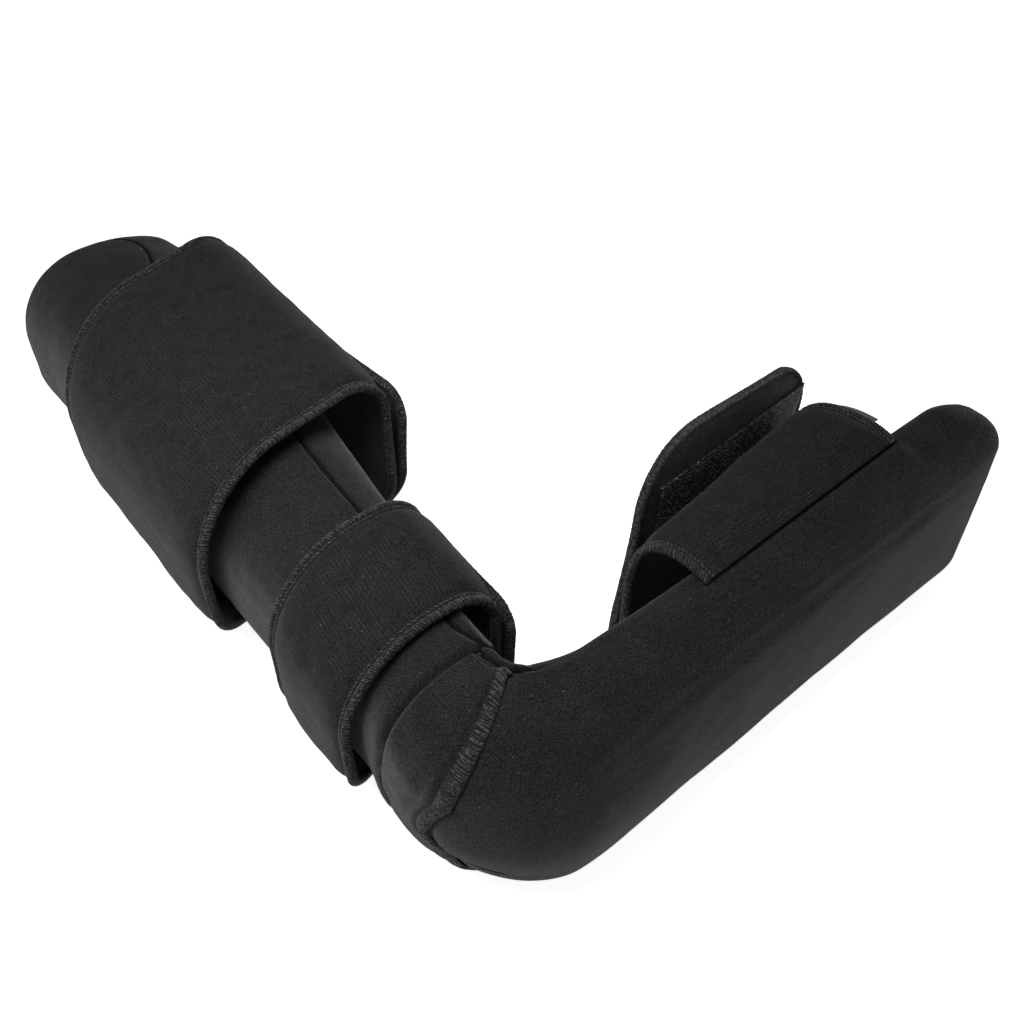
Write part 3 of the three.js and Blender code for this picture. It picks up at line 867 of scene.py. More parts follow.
def blown_cover(name, start, end):
    """How far the outer cover swells over its padding: cloth under pressure, held at its seams,
    its rims and its ends. Gives the grid's lines, its rows and the swell, millimetres."""
    lines = both_halves(coarse_half_lines())
    rows = np.linspace(start, end, round((end - start) / COVER_STEP))
    line, along = np.meshgrid(lines, rows)
    _, mid, inward, half = pad_faces(line, along, start, end)
    outer = mid - inward * (half * (1 - SWELL_SLACK / (PAD / 2)))[..., None]
    inner = mid + inward * half[..., None]
    points, faces = closed_sheet(inner, outer)
    mesh = bpy.data.meshes.new(name)
    mesh.from_pydata((points * MM).tolist(), [], faces)
    cover = bpy.data.objects.new(name, mesh)
    bpy.context.scene.collection.objects.link(cover)
    seam = (np.abs(np.abs(line) - SEAM_LINE) < 1e-6) & (along < RIM_SEAM_END)
    ends = np.minimum(along - start, end - along) < PAD / 2
    sewn = seam | ends | (np.abs(line) > RIM_START - 1e-6)
    held = np.concatenate([np.ones(line.size, bool), sewn.ravel()])
    group = cover.vertex_groups.new(name="sewn")
    group.add(np.flatnonzero(held).tolist(), 1.0, "REPLACE")
    cloth = cover.modifiers.new("cover", "CLOTH")
    cloth.settings.vertex_group_mass = "sewn"
    cloth.settings.use_pressure = True
    cloth.settings.uniform_pressure_force = SWELL_PRESSURE
    cloth.settings.effector_weights.gravity = 0
    cloth.collision_settings.use_collision = False
    cloth.point_cache.frame_start = 1
    cloth.point_cache.frame_end = SWELL_FRAMES
    for step in range(1, SWELL_FRAMES + 1):
        bpy.context.scene.frame_set(step)
    blown = cover.evaluated_get(bpy.context.evaluated_depsgraph_get()).data
    places = np.zeros(len(blown.vertices) * 3, np.float32)
    blown.vertices.foreach_get("co", places)
    moved = places.reshape(2, *line.shape, 3)[1] / MM - outer
    swell = np.clip(-(moved * inward).sum(-1), -TIGHTEN_MOST, SWELL_MOST)
    bpy.context.scene.frame_set(1)
    bpy.data.objects.remove(cover)
    bpy.data.meshes.remove(mesh)
    return lines, rows, swell


def between(lines, rows, grid, line, row):
    """Values of a coarse grid at the places of a finer one."""
    i = np.clip(np.searchsorted(lines, line) - 1, 0, len(lines) - 2)
    j = np.clip(np.searchsorted(rows, row) - 1, 0, len(rows) - 2)
    s = smoothstep(line, lines[i], lines[i + 1])
    t = smoothstep(row, rows[j], rows[j + 1])
    return lerp(lerp(grid[j, i], grid[j, i + 1], s), lerp(grid[j + 1, i], grid[j + 1, i + 1], s), t)


def padded_trough(name, node, start, end, relief, seams):
    line, along = np.meshgrid(both_halves(half_lines()), end_lines(start, end, PAD_STEP))
    across, mid, inward, half = pad_faces(line, along, start, end)
    swell = between(*blown_cover(name + "_cover", start, end), line, along)
    full = half / (PAD / 2)
    up = half + full * (relief(across, along, mid) + swell - SWELL_SLACK)
    inner = mid + inward * (half + full * unevenness(mid, INSIDE_UNEVEN))[..., None]
    points, faces = closed_sheet(inner, mid - inward * up[..., None])
    # Painted shade in the seams, on the outer face only
    sewn = np.stack([0 * across, seams(across, along)]).ravel()
    piece = piece_from(name, points, faces, PLUSH, seams=sewn)
    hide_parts(node)


# Straps

KNIT_STEP = 1.9
HEM_FINE = 14  # the grid is fine this far from an edge
SEAM_STEP = 0.8
END_TURN = (70, 16)  # between these distances from the free end the grid turns to follow it
NORMAL_INSET = 0.3
NORMAL_STEP = 0.25
SEWN_TAPER = dict(inner_run=7, outer_rise=2.6, outer_run=(-3, 12))  # thin at a sewn edge
KNIT_UNEVEN = [(0.3, 36, 11), (0.1, 12, 12)]
KNIT_UNEVEN_FROM = (6, 22)


class Strap:
    """A strap between two edge paths. walk: millimetres along it. over: from the first edge."""

    def __init__(self, paths, width, corner, to_space, sewn, bow=0):
        self.paths = [np.asarray(path, float) for path in paths]
        self.runs = [walked(path) for path in self.paths]
        self.width = width
        self.corner = corner
        self.bow = bow
        self.to_space = to_space
        self.sewn = sewn
        self.long = float(np.mean([run[-1] for run in self.runs])) - bow / 3

    def length(self, over):
        """Length without the round corners: the free end is bowed out in the middle."""
        straight = lerp(self.runs[0][-1], self.runs[1][-1], over / self.width)
        return straight - self.bow * (2 * over / self.width - 1) ** 2

    def cut(self, over):
        """How much shorter the free end is near the long edges, for its round corners."""
        edge = np.clip(np.minimum(over, self.width - over), 0, self.corner)
        return self.corner - np.sqrt(np.maximum(self.corner ** 2 - (self.corner - edge) ** 2, 0))

    def point(self, walk, over):
        """Place in space of a point of the strap's middle surface."""
        ends = []
        for path, run in zip(self.paths, self.runs):
            place = np.clip(walk, 0, run[-1])
            ends.append(np.stack([np.interp(place, run, path[:, i]) for i in (0, 1)], -1))
        share = np.asarray(over / self.width)[..., None]
        return self.to_space(lerp(*ends, share), over)

    def normal(self, walk, over):
        walk = np.clip(walk, NORMAL_INSET, self.length(over) - NORMAL_INSET)
        over = np.clip(over, NORMAL_INSET, self.width - NORMAL_INSET)
        return surface_normal(self.point, walk, over, NORMAL_STEP)

    def to_edge(self, walk, over):
        """Distance on the flat cloth to the nearest hemmed edge."""
        from_end = self.length(over) - walk
        side = np.minimum(over, self.width - over)
        radius = self.corner
        in_corner = (from_end < radius) & (side < radius)
        round_off = radius - np.hypot(radius - from_end, radius - side)
        edge = np.where(in_corner, round_off, np.minimum(from_end, side))
        return edge if self.sewn else np.minimum(edge, walk)

    def grid(self, step):
        """Grid over the strap, close together near its edges."""
        fine = with_middles(column(HEM_SHAPE, "edge"))
        fine = fine[fine < HEM_FINE]

        def lines(size, start):
            count = max(round((size - 2 * HEM_FINE) / step), 3)
            middle = np.linspace(HEM_FINE, size - HEM_FINE, count)
            return np.concatenate([start, middle, size - fine[::-1]])

        start = np.arange(0, HEM_FINE, SEAM_STEP) if self.sewn else fine
        over, line = np.meshgrid(lines(self.width, fine), lines(self.long, start))
        stretch = self.length(over) / self.long
        tail = smoothstep(line, *(self.long - away for away in END_TURN))
        to_end = line - self.long + self.length(over) - self.cut(over)
        return lerp(line * stretch, to_end, tail), over

    def outline(self, pitch):
        """Places round the hemmed edge, a pitch apart, and the direction in from it, on the cloth."""
        radius = self.corner
        straight = np.arange(0, self.long - radius, pitch)
        turn = np.arange(0, math.pi / 2, pitch / radius)
        places = []
        inward = []

        def side(walk, over, heading):
            places.append(np.stack(np.broadcast_arrays(walk, over), -1))
            inward.append(np.broadcast_to(heading, places[-1].shape))

        def corner(centre, turn):
            heading = np.stack([np.cos(turn), np.sin(turn)], -1)
            places.append(np.array([self.long - radius, centre]) + radius * heading)
            inward.append(-heading)

        side(straight, 0.0, [0.0, 1.0])
        corner(radius, turn - math.pi / 2)
        side(self.long, np.arange(radius, self.width - radius, pitch), [-1.0, 0.0])
        corner(self.width - radius, turn)
        side(straight[::-1], self.width, [0.0, -1.0])
        if not self.sewn:
            side(0.0, np.arange(self.width - 1, 1, -pitch), [1.0, 0.0])
        return np.concatenate(places), np.concatenate(inward)

    def on_cloth(self, flat):
        """From the mean flat cloth to walk and over: the far end keeps its distance to the end."""
        over = np.clip(flat[..., 1], 0, self.width)
        extra = self.length(over) - self.long
        return flat[..., 0] + extra * smoothstep(flat[..., 0], 0, self.long), over

    def outside(self):
        """Sign that turns the normal away from the leg or foot inside the strap."""
        over = np.array([self.width / 2])
        walk = np.array([self.long * 0.45])
        ring = self.point(np.linspace(0, self.long * 0.7, 60), np.full(60, self.width / 2)).mean(0)
        return 1 if self.normal(walk, over)[0] @ (self.point(walk, over)[0] - ring) > 0 else -1

    def halves(self, walk, over):
        """Thickness outside and inside the middle surface."""
        edge = self.to_edge(walk, over)
        outer, inner = (np.interp(edge, column(HEM_SHAPE, "edge"), column(HEM_SHAPE, side))
                        for side in ("outer", "inner"))
        if self.sewn:
            rise = SEWN_TAPER["outer_rise"] * smoothstep(walk, *SEWN_TAPER["outer_run"])
            share = np.clip(walk / SEWN_TAPER["inner_run"], 0, 1)
            outer = np.minimum(outer, SEWN / 2 + rise)
            inner = np.minimum(inner, lerp(SEWN / 2, STRAP / 2, share))
        return outer, inner

    def on_face(self, flat, face, lift):
        """Points over the outer (1) or inner (-1) face, from places on the flat cloth."""
        walk, over = self.on_cloth(flat)
        normal = self.normal(walk, over) * self.outside() * face
        outer, inner = self.halves(walk, over)
        height = (outer if face > 0 else inner) + lift
        return self.point(walk, over) + normal * height[..., None], normal


def knit_sheet(name, strap, slack, lining):
    """The cloth of a strap. slack: how uneven it lies. lining: finish of its inner face."""
    walk, over = strap.grid(KNIT_STEP)
    mid = strap.point(walk, over)
    out = strap.normal(walk, over) * strap.outside()
    outer, inner = strap.halves(walk, over)
    inside_edge = smoothstep(strap.to_edge(walk, over), *KNIT_UNEVEN_FROM)
    wave = slack * inside_edge * unevenness(mid, KNIT_UNEVEN)
    front = mid + out * (outer + wave)[..., None]
    back = mid - out * inner[..., None]
    sheets = (front, back) if strap.outside() > 0 else (back, front)
    points, faces = closed_sheet(*(grid.transpose(1, 0, 2) for grid in sheets))
    flat = np.stack([walk, over], -1).transpose(1, 0, 2).reshape(-1, 2)
    piece = piece_from(name, points, faces, KNIT, np.concatenate([flat, flat]))
    if lining is not None:
        piece.data.materials.append(lining)
        tiles = (walk.shape[0] - 1) * (walk.shape[1] - 1)
        face = np.arange(len(faces))
        inside = (face >= tiles) & (face < 2 * tiles) if strap.outside() > 0 else face < tiles
        piece.data.polygons.foreach_set("material_index", inside.astype(np.int32))
    return piece


def edge_threads(strap, rng):
    """Threads wrapped round the edge of a strap, slanting as they go over it."""
    edge, inward = strap.outline(THREAD_PITCH)
    ahead = np.stack([inward[:, 1], -inward[:, 0]], -1)
    each = (len(edge), 1)
    stray = THREAD_STRAY["ahead"]
    edge = edge + rng.uniform(-stray, stray, each) * ahead
    reach = THREAD_REACH * rng.uniform(*THREAD_STRAY["reach"], each)
    lift = THREAD * (THREAD_LIFT + rng.uniform(*THREAD_STRAY["lift"], each))
    faces = []
    for face in (1, -1):
        slant = face * THREAD_SLANT * reach
        flat = edge[:, None] + inward[:, None] * reach[..., None] + ahead[:, None] * slant[..., None]
        faces.append(strap.on_face(flat, face, lift)[0])
    tip = strap.point(*strap.on_cloth(edge))
    further_in = strap.point(*strap.on_cloth(edge + inward * 2.0))
    tip = tip + unit(tip - further_in) * THREAD * THREAD_OVER_EDGE
    paths = np.concatenate([faces[0], tip[:, None], faces[1][:, ::-1]], 1)
    return tubes(paths, unit(np.gradient(tip, axis=0)), THREAD)


def stitch_row(strap):
    """A row of stitches in the crease inside the edge."""
    edge, inward = strap.outline(STITCH["pitch"])
    ahead = np.stack([inward[:, 1], -inward[:, 0]], -1)
    run = np.linspace(-0.5, 0.5, len(STITCH_LIFT)) * STITCH["length"]
    across = STITCH["inset"] + STITCH["slant"] * run
    flat = edge[:, None] + inward[:, None] * across[:, None] + ahead[:, None] * run[:, None]
    paths, normal = strap.on_face(flat, 1, STITCH_LIFT * STITCH["radius"])
    return tubes(paths, normal[:, 2], STITCH["radius"])


def make_strap(node, strap, slack, lining=None):
    piece = knit_sheet(node + "_knit", strap, slack, lining)
    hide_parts(node)
    rng = np.random.default_rng(THREAD_SEED)
    points, faces = joined(edge_threads(strap, rng), stitch_row(strap))
    edging = piece_from(node + "_overlock", points, faces, OVERLOCK)


def arc(x, y, radius, start, end, count=40):
    turn = np.linspace(start, end, count)
    return np.stack([x + radius * np.cos(turn), y + radius * np.sin(turn)], -1)


def wrap_path(edge, ring):
    """Round the leg: up the shin, over the upper side, down the back, under it, over its start."""
    low = HEM / 2 - REST
    lap = edge["front"] + LEG_LAP
    front, back, high = edge["front"], edge["back"], edge["high"]
    small, large = ring["front_radius"], ring["back_radius"]
    quarter = math.pi / 2
    tail_start = np.array([lap, low + small])
    tail_bend = np.array([lap, (low + small + edge["end"]) / 2])
    tail_end = np.array([lap + edge["lift"], edge["end"]])
    t = np.linspace(0, 1, 30)[1:, None]
    tail = tail_start * (1 - t) ** 2 + 2 * tail_bend * t * (1 - t) + tail_end * t ** 2
    return np.concatenate([
        [[front, ring["inner_end"]]],
        arc(front - small, high - small, small, 0, quarter),
        arc(back + large, high - large, large, quarter, 2 * quarter),
        arc(back + large, low + large, large, 2 * quarter, 3 * quarter),
        arc(lap - small, low + small, small, -quarter, 0),
        tail,
    ])


HEM_TUCK = 3.4  # the lower hem is drawn in round the back of the leg
HEM_TUCK_AT = math.radians(50)
HEM_TUCK_SPREAD = 0.6
HEM_TUCK_FADE = (2, 34)


def wrap_strap(edges, ring):
    lower, upper = edges
    width = upper["at"] - lower["at"]
    middle = (lower["front"] + lower["back"]) / 2
    depth = lower["front"] - lower["back"]
    large = ring["back_radius"]
    centre = np.array([lower["back"] + large, HEM / 2 - REST + large])

    def to_space(place, over):
        rake = lerp(lower["rake"], upper["rake"], over / width)
        under = lerp(lower["under"], upper["under"], over / width)
        round_back = np.clip((place[..., 0] - lower["back"]) / large, 0, 1)
        sweep = smoothstep(-place[..., 1], 0, REST) * (0.5 + 0.5 * np.sin(round_back * math.pi / 2))
        rise = rake * (place[..., 0] - middle) / depth + under * sweep
        turn = np.arctan2(centre[1] - place[..., 1], centre[0] - place[..., 0])
        tuck = HEM_TUCK * bell(turn - HEM_TUCK_AT, HEM_TUCK_SPREAD)
        tuck = tuck * (1 - smoothstep(over, *HEM_TUCK_FADE))
        x = place[..., 0] + tuck * np.cos(turn)
        z = place[..., 1] + tuck * np.sin(turn)
        return np.stack([x, lower["at"] + over + rise, z], -1)

    paths = [wrap_path(edge, ring) for edge in edges]
    return Strap(paths, width, ring["end_corner"], to_space, sewn=False)


def arch_path(seam, top, lower, start, end, count=120):
    """Arch of the foot closure: side from the middle plane and height over the sole."""
    power = 2 / ARCH_SQUARENESS
    angle = math.pi * np.linspace(start, end, count)
    cos = np.cos(angle)
    side = np.where(cos > 0, ARCH_UPPER, -lower) * np.abs(cos) ** power
    return np.stack([side, lerp(seam, top, np.abs(np.sin(angle)) ** power)], -1)


def foot_strap():
    paths = [arch_path(edge["seam"], edge["top"], ARCH_LOWER, 0, STRAP_SHARE) for edge in FOOT_EDGES]
    for path in paths:
        path[:, 0] -= SEAM_TUCK * (1 - smoothstep(walked(path), 0, SEAM_TUCK_RUN))

    def to_space(place, over):
        return np.stack([FOOT_EDGES[0]["at"] + over, place[..., 1], place[..., 0]], -1)

    return Strap(paths, FOOT_WIDTH, STRAP_CORNER, to_space, sewn=True)


def flap_point(side, height, over):
    """Point of the flap. Its tongue is set off towards the toes, and rises there with the strap."""
    heel, toe = FOOT_EDGES
    share = smoothstep(side, *TONGUE_SHIFT)
    start = lerp(heel["at"], heel["tongue_at"], share)
    x = lerp(start, lerp(toe["at"], toe["tongue_at"], share), over / FOOT_WIDTH)
    rise = (x - heel["at"] - over) * (toe["top"] - heel["top"]) / FOOT_WIDTH
    return np.stack([x, height + rise, side], -1)


def foot_flap():
    paths = []
    for edge in FOOT_EDGES:
        rim = float(section("depth", HEEL_END + edge["at"] - HEEL_RADIUS))
        seam = rim - FLAP_SEAM_DROP - FLAP_SEWN_IN
        crown = edge["top"] + FOOT_LAP
        rise = arch_path(seam, crown, ARCH_LOWER + FOOT_LAP, 1, 0.5)
        reach = np.linspace(0, edge["tip"], 60)[1:]
        paths.append(np.concatenate([rise, np.stack([reach, np.full(len(reach), crown)], -1)]))

    def to_space(place, over):
        return flap_point(place[..., 0], place[..., 1], over)

    return Strap(paths, FOOT_WIDTH, TONGUE_CORNER, to_space, sewn=True, bow=TONGUE_BOW)


# Cuff at the heel end of the leg cover

CUFF_LENGTH = 24.0  # along the back, from its seam to its hem
CUFF_SHAPE = [
    dict(edge=0, up=0.3),
    dict(edge=0.4, up=1.0),
    dict(edge=1.0, up=1.45),
    dict(edge=2.2, up=1.7),
    dict(edge=3.4, up=1.6),
    dict(edge=4.2, up=1.2),
    dict(edge=4.8, up=0.9),
    dict(edge=5.3, up=1.25),
    dict(edge=6.2, up=1.75),
    dict(edge=7.2, up=1.7),
    dict(edge=8.4, up=1.45),
    dict(edge=11, up=1.9),
]
CUFF_TOP = 2.09
CUFF_ROUND = 2.4  # it rounds off this far from its sewn edges
CUFF_SEWN = 1.6  # they are sewn down by this much
CUFF_SEWN_RUN = 1.5
# Painted shade along the cuff's sewn seam fades out over this run
CUFF_SEAM_SHADE_RUN = 1.6
CUFF_SEAM_FROM = 1.9  # from here on its upper end follows the rim seam, this gap below it
CUFF_SEAM_TO = 2.2
CUFF_SEAM_GAP = 2.4
CUFF_PRESSED = dict(share=0.45, run=(-1.3, 0.3))
CUFF_UNEVEN = [(0.15, 14, 21)]
CUFF_UNEVEN_FROM = (5, 9)
CUFF_THREAD = 0.21
CUFF_THREAD_PITCH = 0.75
CUFF_THREAD_REACH = np.array([4.6, 4.0, 3.2, 2.2, 1.2, 0.5, 0.0])
CUFF_THREAD_LIFT = np.array([-0.8, 0.3, 0.6, 0.6, 0.5, 0.2, -0.4])
CUFF_THREAD_STRAY = dict(mark=0.3, reach=(0.8, 1.08), lift=(-0.5, 0.6))
CUFF_THREAD_LEAN = 0.008
CUFF_THREAD_LEANS = [0.6, 1.0, 1.3]
CUFF_SEED = 23


def cuff_up(to_hem, to_seam):
    hem = np.interp(to_hem, column(CUFF_SHAPE, "edge"), column(CUFF_SHAPE, "up"))
    return np.minimum(hem, CUFF_TOP * np.sqrt(np.clip(to_seam / CUFF_ROUND, 0.01, 1)))


def cuff_along(across, share):
    return lerp(cuff_line(across, CUFF_UPPER), cuff_line(across, CUFF_LOWER), share)


def cuff_place(across, share):
    return trough_point(across, cuff_along(across, share), 0)


def below_rim_seam(across, share):
    """Place across the trough with the cuff's upper end drawn in to just below the rim seam."""
    along = cuff_along(np.minimum(across, CUFF_SEAM_TO), share)
    limit = rim_seam_place(along) - CUFF_SEAM_GAP / wall_height(along)
    stretch = (limit - CUFF_SEAM_FROM) / (CUFF_REACH["high"] - CUFF_SEAM_FROM)
    drawn = CUFF_SEAM_FROM + (across - CUFF_SEAM_FROM) * stretch
    return np.where(across > CUFF_SEAM_FROM, drawn, across)


def cuff_low_side(across):
    """The cuff is pressed thin on the underside."""
    return lerp(CUFF_PRESSED["share"], 1.0, smoothstep(across, *CUFF_PRESSED["run"]))


def cuff_grid():
    """Grid over the cuff: lines across the trough, shares of the way from seam to hem."""
    low, high = CUFF_REACH["low"], CUFF_REACH["high"]
    half = half_lines()
    fine = np.array([0, 0.01, 0.025, 0.045, 0.07])
    below = -half[(half > 0) & (half < -low - 0.08)][::-1]
    above = half[half < 2.25]
    lines = np.concatenate([low + fine, below, above, high - 3 * fine[::-1]])
    seam = np.array([0, 0.3, 0.8, 1.5, 2.4, 4]) / CUFF_LENGTH
    hem = (1 - with_middles(column(CUFF_SHAPE, "edge")) / CUFF_LENGTH)[::-1]
    return np.meshgrid(lines, np.concatenate([seam, np.linspace(0.2, 0.5, 6), hem]))


def make_cuff():
    low, high = CUFF_REACH["low"], CUFF_REACH["high"]
    line, share = cuff_grid()
    across = below_rim_seam(line, share)
    along = cuff_along(across, share)
    to_seam = share * CUFF_LENGTH
    to_hem = (1 - share) * CUFF_LENGTH
    around = section("corner", along) * math.pi / 2
    to_side = np.minimum((across[:, -1:] - across) * wall_height(along), (across - low) * around)
    to_sewn = np.minimum(to_seam, to_side)
    up = cuff_up(to_hem, to_sewn) * cuff_low_side(across)
    sewn_down = CUFF_SEWN * (1 - smoothstep(to_sewn, 0, CUFF_SEWN_RUN))
    base = trough_point(across, along, sewn_down - CUFF_GAP)
    inward = surface_normal(cuff_place, across, share, 1e-3)
    uneven = unevenness(base, CUFF_UNEVEN) * smoothstep(to_hem, *CUFF_UNEVEN_FROM)
    points, faces = closed_sheet(base, base - inward * (up + uneven)[..., None])
    # Painted shade along the cuff's sewn seam, on both faces
    painted_shadow = np.tile(1 - smoothstep(to_seam, 0, CUFF_SEAM_SHADE_RUN).ravel(), 2)
    cuff = piece_from("ankle_cuff_plush", points, faces, PLUSH, seams=painted_shadow)
    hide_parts("ankle_cuff")
    edging = cuff_threads()
    width = line_length(cuff_place(np.linspace(low, high, 200), np.full(200, 0.5)))
    sides = [cuff_place(np.full(60, place), np.linspace(0, 1, 60)) for place in (0, 2.2)]


def cuff_threads():
    """Loops of thread over the hem of the cuff, a little uneven."""
    fine = np.linspace(CUFF_REACH["low"] + 0.03, CUFF_REACH["high"] - 0.02, 4000)
    fine = below_rim_seam(fine, 0.95)
    run = walked(trough_point(fine, cuff_along(fine, np.full(fine.shape, 0.9)), -3))
    rng = np.random.default_rng(CUFF_SEED)
    stray = CUFF_THREAD_STRAY
    marks = np.arange(0, run[-1], CUFF_THREAD_PITCH)
    marks = marks + rng.uniform(-stray["mark"], stray["mark"], len(marks))
    each = (len(marks), 1)
    reach = CUFF_THREAD_REACH * rng.uniform(*stray["reach"], each)
    lean = CUFF_THREAD_LEAN * reach * rng.choice(CUFF_THREAD_LEANS, each)
    across = np.interp(marks, run, fine)[:, None] + lean
    along = cuff_along(across, 1 - reach / CUFF_LENGTH)
    up = cuff_up(reach, np.full(across.shape, 9.0)) * cuff_low_side(across)
    lift = CUFF_THREAD * (CUFF_THREAD_LIFT + rng.uniform(*stray["lift"], each))
    paths = trough_point(across, along, -(CUFF_GAP + up + lift))
    points, faces = tubes(paths, unit(np.gradient(paths[:, 3], axis=0)), CUFF_THREAD)
    return piece_from("ankle_cuff_overlock", points, faces, OVERLOCK)


# Hook tape and tab

HOOK_SHEET = 0.45  # thickness of the backing
HOOK_PITCH = 1.25
HOOK_INSET = (1.2, 1)  # from the start and the end of the tape
HOOK_STRAY = 0.25
HOOK_RADIUS = 0.13
HOOK_STEM = np.array([0, 0.35, 0.6, 0.72, 0.62])
HOOK_BEND = np.array([0, 0.02, 0.12, 0.36, 0.55])
HOOK_SEED = 31
TAPE_STITCH = dict(inset=0.9, from_end=2, pitch=3.2, half=1.4, radius=0.24)
TAPE_STITCH_LIFT = np.array([-0.2, 0.12, 0.16, 0.12, -0.2])
TAB_EDGE = dict(thin=0.35, run=0.8)
INSIDE_FOOT = np.array([0, 20.0, 0.0])  # a point that the tab's inner face looks at


def make_hook_tape():
    inside = FOOT_LAP - STRAP / 2 - SEAM_GAP
    heel, toe = FOOT_EDGES
    low, high = HOOK_PLACE["low"], HOOK_PLACE["high"]
    first, last = HOOK_PLACE["margin"], FOOT_WIDTH - HOOK_PLACE["margin"]

    def place(side, over, depth):
        share = over / FOOT_WIDTH
        height = lerp(heel["top"], toe["top"], share) + inside - depth
        return flap_point(side + HOOK_PLACE["slant"] * share, height, over)

    side, over = np.meshgrid(np.linspace(low, high, 27), np.linspace(first, last, 41))
    points, faces = closed_sheet(place(side, over, HOOK_SHEET), place(side, over, 0))
    tape = piece_from("hook_tape_backing", points, faces, HOOK_BACKING)
    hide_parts("hook_tape")
    start, end = HOOK_INSET
    side, over = np.meshgrid(np.arange(low + start, high - end, HOOK_PITCH),
                             np.arange(first + start, last - end, HOOK_PITCH))
    rng = np.random.default_rng(HOOK_SEED)
    side = side.ravel() + rng.uniform(-HOOK_STRAY, HOOK_STRAY, side.size)
    over = over.ravel() + rng.uniform(-HOOK_STRAY, HOOK_STRAY, over.size)
    lean = rng.choice([-1.0, 1.0], side.size)
    sides = side[:, None] + lean[:, None] * HOOK_BEND
    paths = place(sides, np.broadcast_to(over[:, None], sides.shape), HOOK_SHEET + HOOK_STEM)
    hooks = tubes(paths, np.tile([1.0, 0.0, 0.0], (len(paths), 1)), HOOK_RADIUS)
    points, faces = joined(hooks, tape_stitches(place, high, first, last))
    piece_from("hook_tape_hooks", points, faces, HOOK_NYLON)


def tape_stitches(place, high, first, last):
    """The clear thread that sews the tape's outer edge to the flap."""
    stitch = TAPE_STITCH
    marks = np.arange(first + stitch["from_end"], last - stitch["from_end"], stitch["pitch"])
    run = np.linspace(-stitch["half"], stitch["half"], len(TAPE_STITCH_LIFT))
    over = marks[:, None] + run
    side = np.full(over.shape, high - stitch["inset"])
    paths = place(side, over, HOOK_SHEET + TAPE_STITCH_LIFT)
    return tubes(paths, np.tile([0.0, 1.0, 0.0], (len(paths), 1)), stitch["radius"])


def make_tab(strap):
    length = strap.runs[1][-1]
    under, beyond, thick = TAB["under"], TAB["beyond"], TAB["thick"]
    walk = np.linspace(TAB["from"], TAB["to"], 33) * length
    rounded = beyond - np.array([0.6, 0.3, 0.1, 0])
    walk, reach = np.meshgrid(walk, np.concatenate([np.linspace(-under, beyond - 1, 12), rounded]))

    def edge(at):
        return strap.point(at, np.full(at.shape, strap.width))

    ahead = unit(edge(walk + 0.5) - edge(walk - 0.5))
    inside = np.stack([0 * walk, ahead[..., 2], -ahead[..., 1]], -1)
    inside = inside * np.sign((inside * (INSIDE_FOOT - edge(walk))).sum(-1, keepdims=True))
    mid = edge(walk) + inside * (HEM / 2 + SEAM_GAP + thick / 2)
    mid[..., 0] += reach
    ends = np.minimum(walk - walk.min(), walk.max() - walk)
    rim = np.minimum(ends, beyond - reach)
    half = thick / 2 * lerp(TAB_EDGE["thin"], 1.0, smoothstep(rim, 0, TAB_EDGE["run"]))
    points, faces = closed_sheet(mid + inside * half[..., None], mid - inside * half[..., None])
    flat = np.stack([walk, reach], -1).reshape(-1, 2)
    tab = piece_from("strap_tab_satin", points, faces, TAB_SATIN, np.tile(flat, (2, 1)))
    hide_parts("strap_tab")


# Studio

CAMERA_TURN = -39.5
CAMERA_RISE = 45
CAMERA_AWAY = 0.4707
CAMERA_AIM = CORNER + np.array([121.3, 132.6, -17.5]) * MM
CAMERA_LENS = 38.38
CAMERA_SENSOR = 36
CAMERA_NEAR = 0.01
KEY_PLACE = (-0.19, -0.055, 0.49)
KEY_AIM = (-0.078, -0.015, 0.1)
KEY_SIZE = 0.35
KEY_POWER = 0.65
KEY_SPREAD = math.radians(84)
SKY_ABOVE = 0.15
SKY_HORIZON = 0.21
FLOOR_HALF = 6.0
FLOOR_SHADE = 0.92
FLOOR_ROUGHNESS = 0.9
FLOOR_GLOW = 0.88
WHITE = (1, 1, 1, 1)


def studio_camera():
    turn, rise = math.radians(CAMERA_TURN), math.radians(CAMERA_RISE)
    back = np.array([math.sin(turn) * math.cos(rise), -math.cos(turn) * math.cos(rise), math.sin(rise)])
    data = bpy.data.cameras.new("camera")
    data.lens = CAMERA_LENS
    data.sensor_width = CAMERA_SENSOR
    data.clip_start = CAMERA_NEAR
    camera = bpy.data.objects.new("camera", data)
    camera.location = CAMERA_AIM + back * CAMERA_AWAY
    camera.rotation_euler = (math.pi / 2 - rise, 0, turn)
    bpy.context.scene.collection.objects.link(camera)
    bpy.context.scene.camera = camera


def key_light():
    data = bpy.data.lights.new("key", "AREA")
    data.shape = "DISK"
    data.size = KEY_SIZE
    data.energy = KEY_POWER
    data.spread = KEY_SPREAD
    light = bpy.data.objects.new("key", data)
    light.location = KEY_PLACE
    direction = Vector(KEY_AIM) - Vector(KEY_PLACE)
    light.rotation_euler = direction.to_track_quat("-Z", "Y").to_euler()
    bpy.context.scene.collection.objects.link(light)


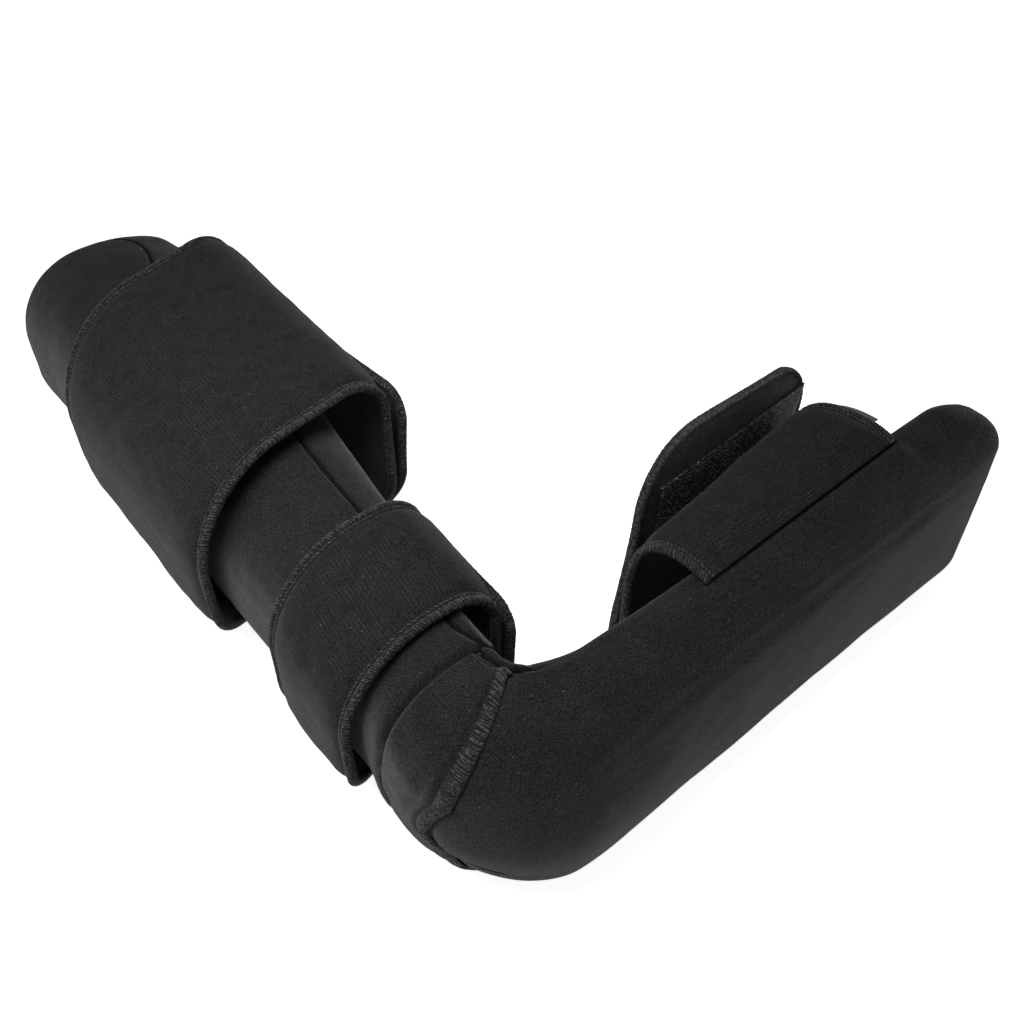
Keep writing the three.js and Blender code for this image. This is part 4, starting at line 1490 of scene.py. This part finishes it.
def pale_floor():
    half = FLOOR_HALF
    corners = [(-half, -half, 0), (half, -half, 0), (half, half, 0), (-half, half, 0)]
    mesh = bpy.data.meshes.new("floor")
    mesh.from_pydata(corners, [], [(0, 1, 2, 3)])
    floor = bpy.data.objects.new("floor", mesh)
    bpy.context.scene.collection.objects.link(floor)
    paper = bpy.data.materials.new("floor_paper")
    paper.use_nodes = True
    shader = paper.node_tree.nodes["Principled BSDF"]
    shader.inputs["Base Color"].default_value = (FLOOR_SHADE, FLOOR_SHADE, FLOOR_SHADE, 1)
    shader.inputs["Roughness"].default_value = FLOOR_ROUGHNESS
    shader.inputs["Emission Color"].default_value = WHITE
    shader.inputs["Emission Strength"].default_value = FLOOR_GLOW
    mesh.materials.append(paper)


def studio():
    pale_floor()
    key_light()
    world = bpy.data.worlds.new("studio")
    world.use_nodes = True
    tree = world.node_tree
    background = tree.nodes["Background"]
    background.inputs["Color"].default_value = WHITE
    height = tree.nodes.new("ShaderNodeSeparateXYZ")
    tree.links.new(tree.nodes.new("ShaderNodeTexCoord").outputs["Generated"], height.inputs[0])
    rise = stretched(tree, height.outputs["Z"], 0.0, 1.0)
    strength = math_node(tree, "MULTIPLY_ADD", rise, SKY_ABOVE - SKY_HORIZON, SKY_HORIZON)
    tree.links.new(strength, background.inputs["Strength"])
    bpy.context.scene.world = world
    bpy.context.scene.view_settings.view_transform = "Standard"


padded_trough("leg_pad_plush", "leg_pad", 0, PAD_JOINT, leg_relief, leg_seam_shade)
padded_trough("foot_pad_plush", "foot_pad", PAD_JOINT + SEAM_GAP, TOE_END, foot_relief, rim_seam_shade)
over_foot = foot_strap()
make_strap("calf_strap", wrap_strap(CALF_EDGES, CALF_RING), 1)
make_strap("ankle_strap", wrap_strap(ANKLE_EDGES, ANKLE_RING), 1)
make_strap("foot_strap", over_foot, 1)
make_strap("foot_flap", foot_flap(), 0.6, FLAP_LINING_AND_FILL_LIGHT)
make_cuff()
make_hook_tape()
make_tab(over_foot)
studio_camera()
studio()

bpy.context.view_layer.update()
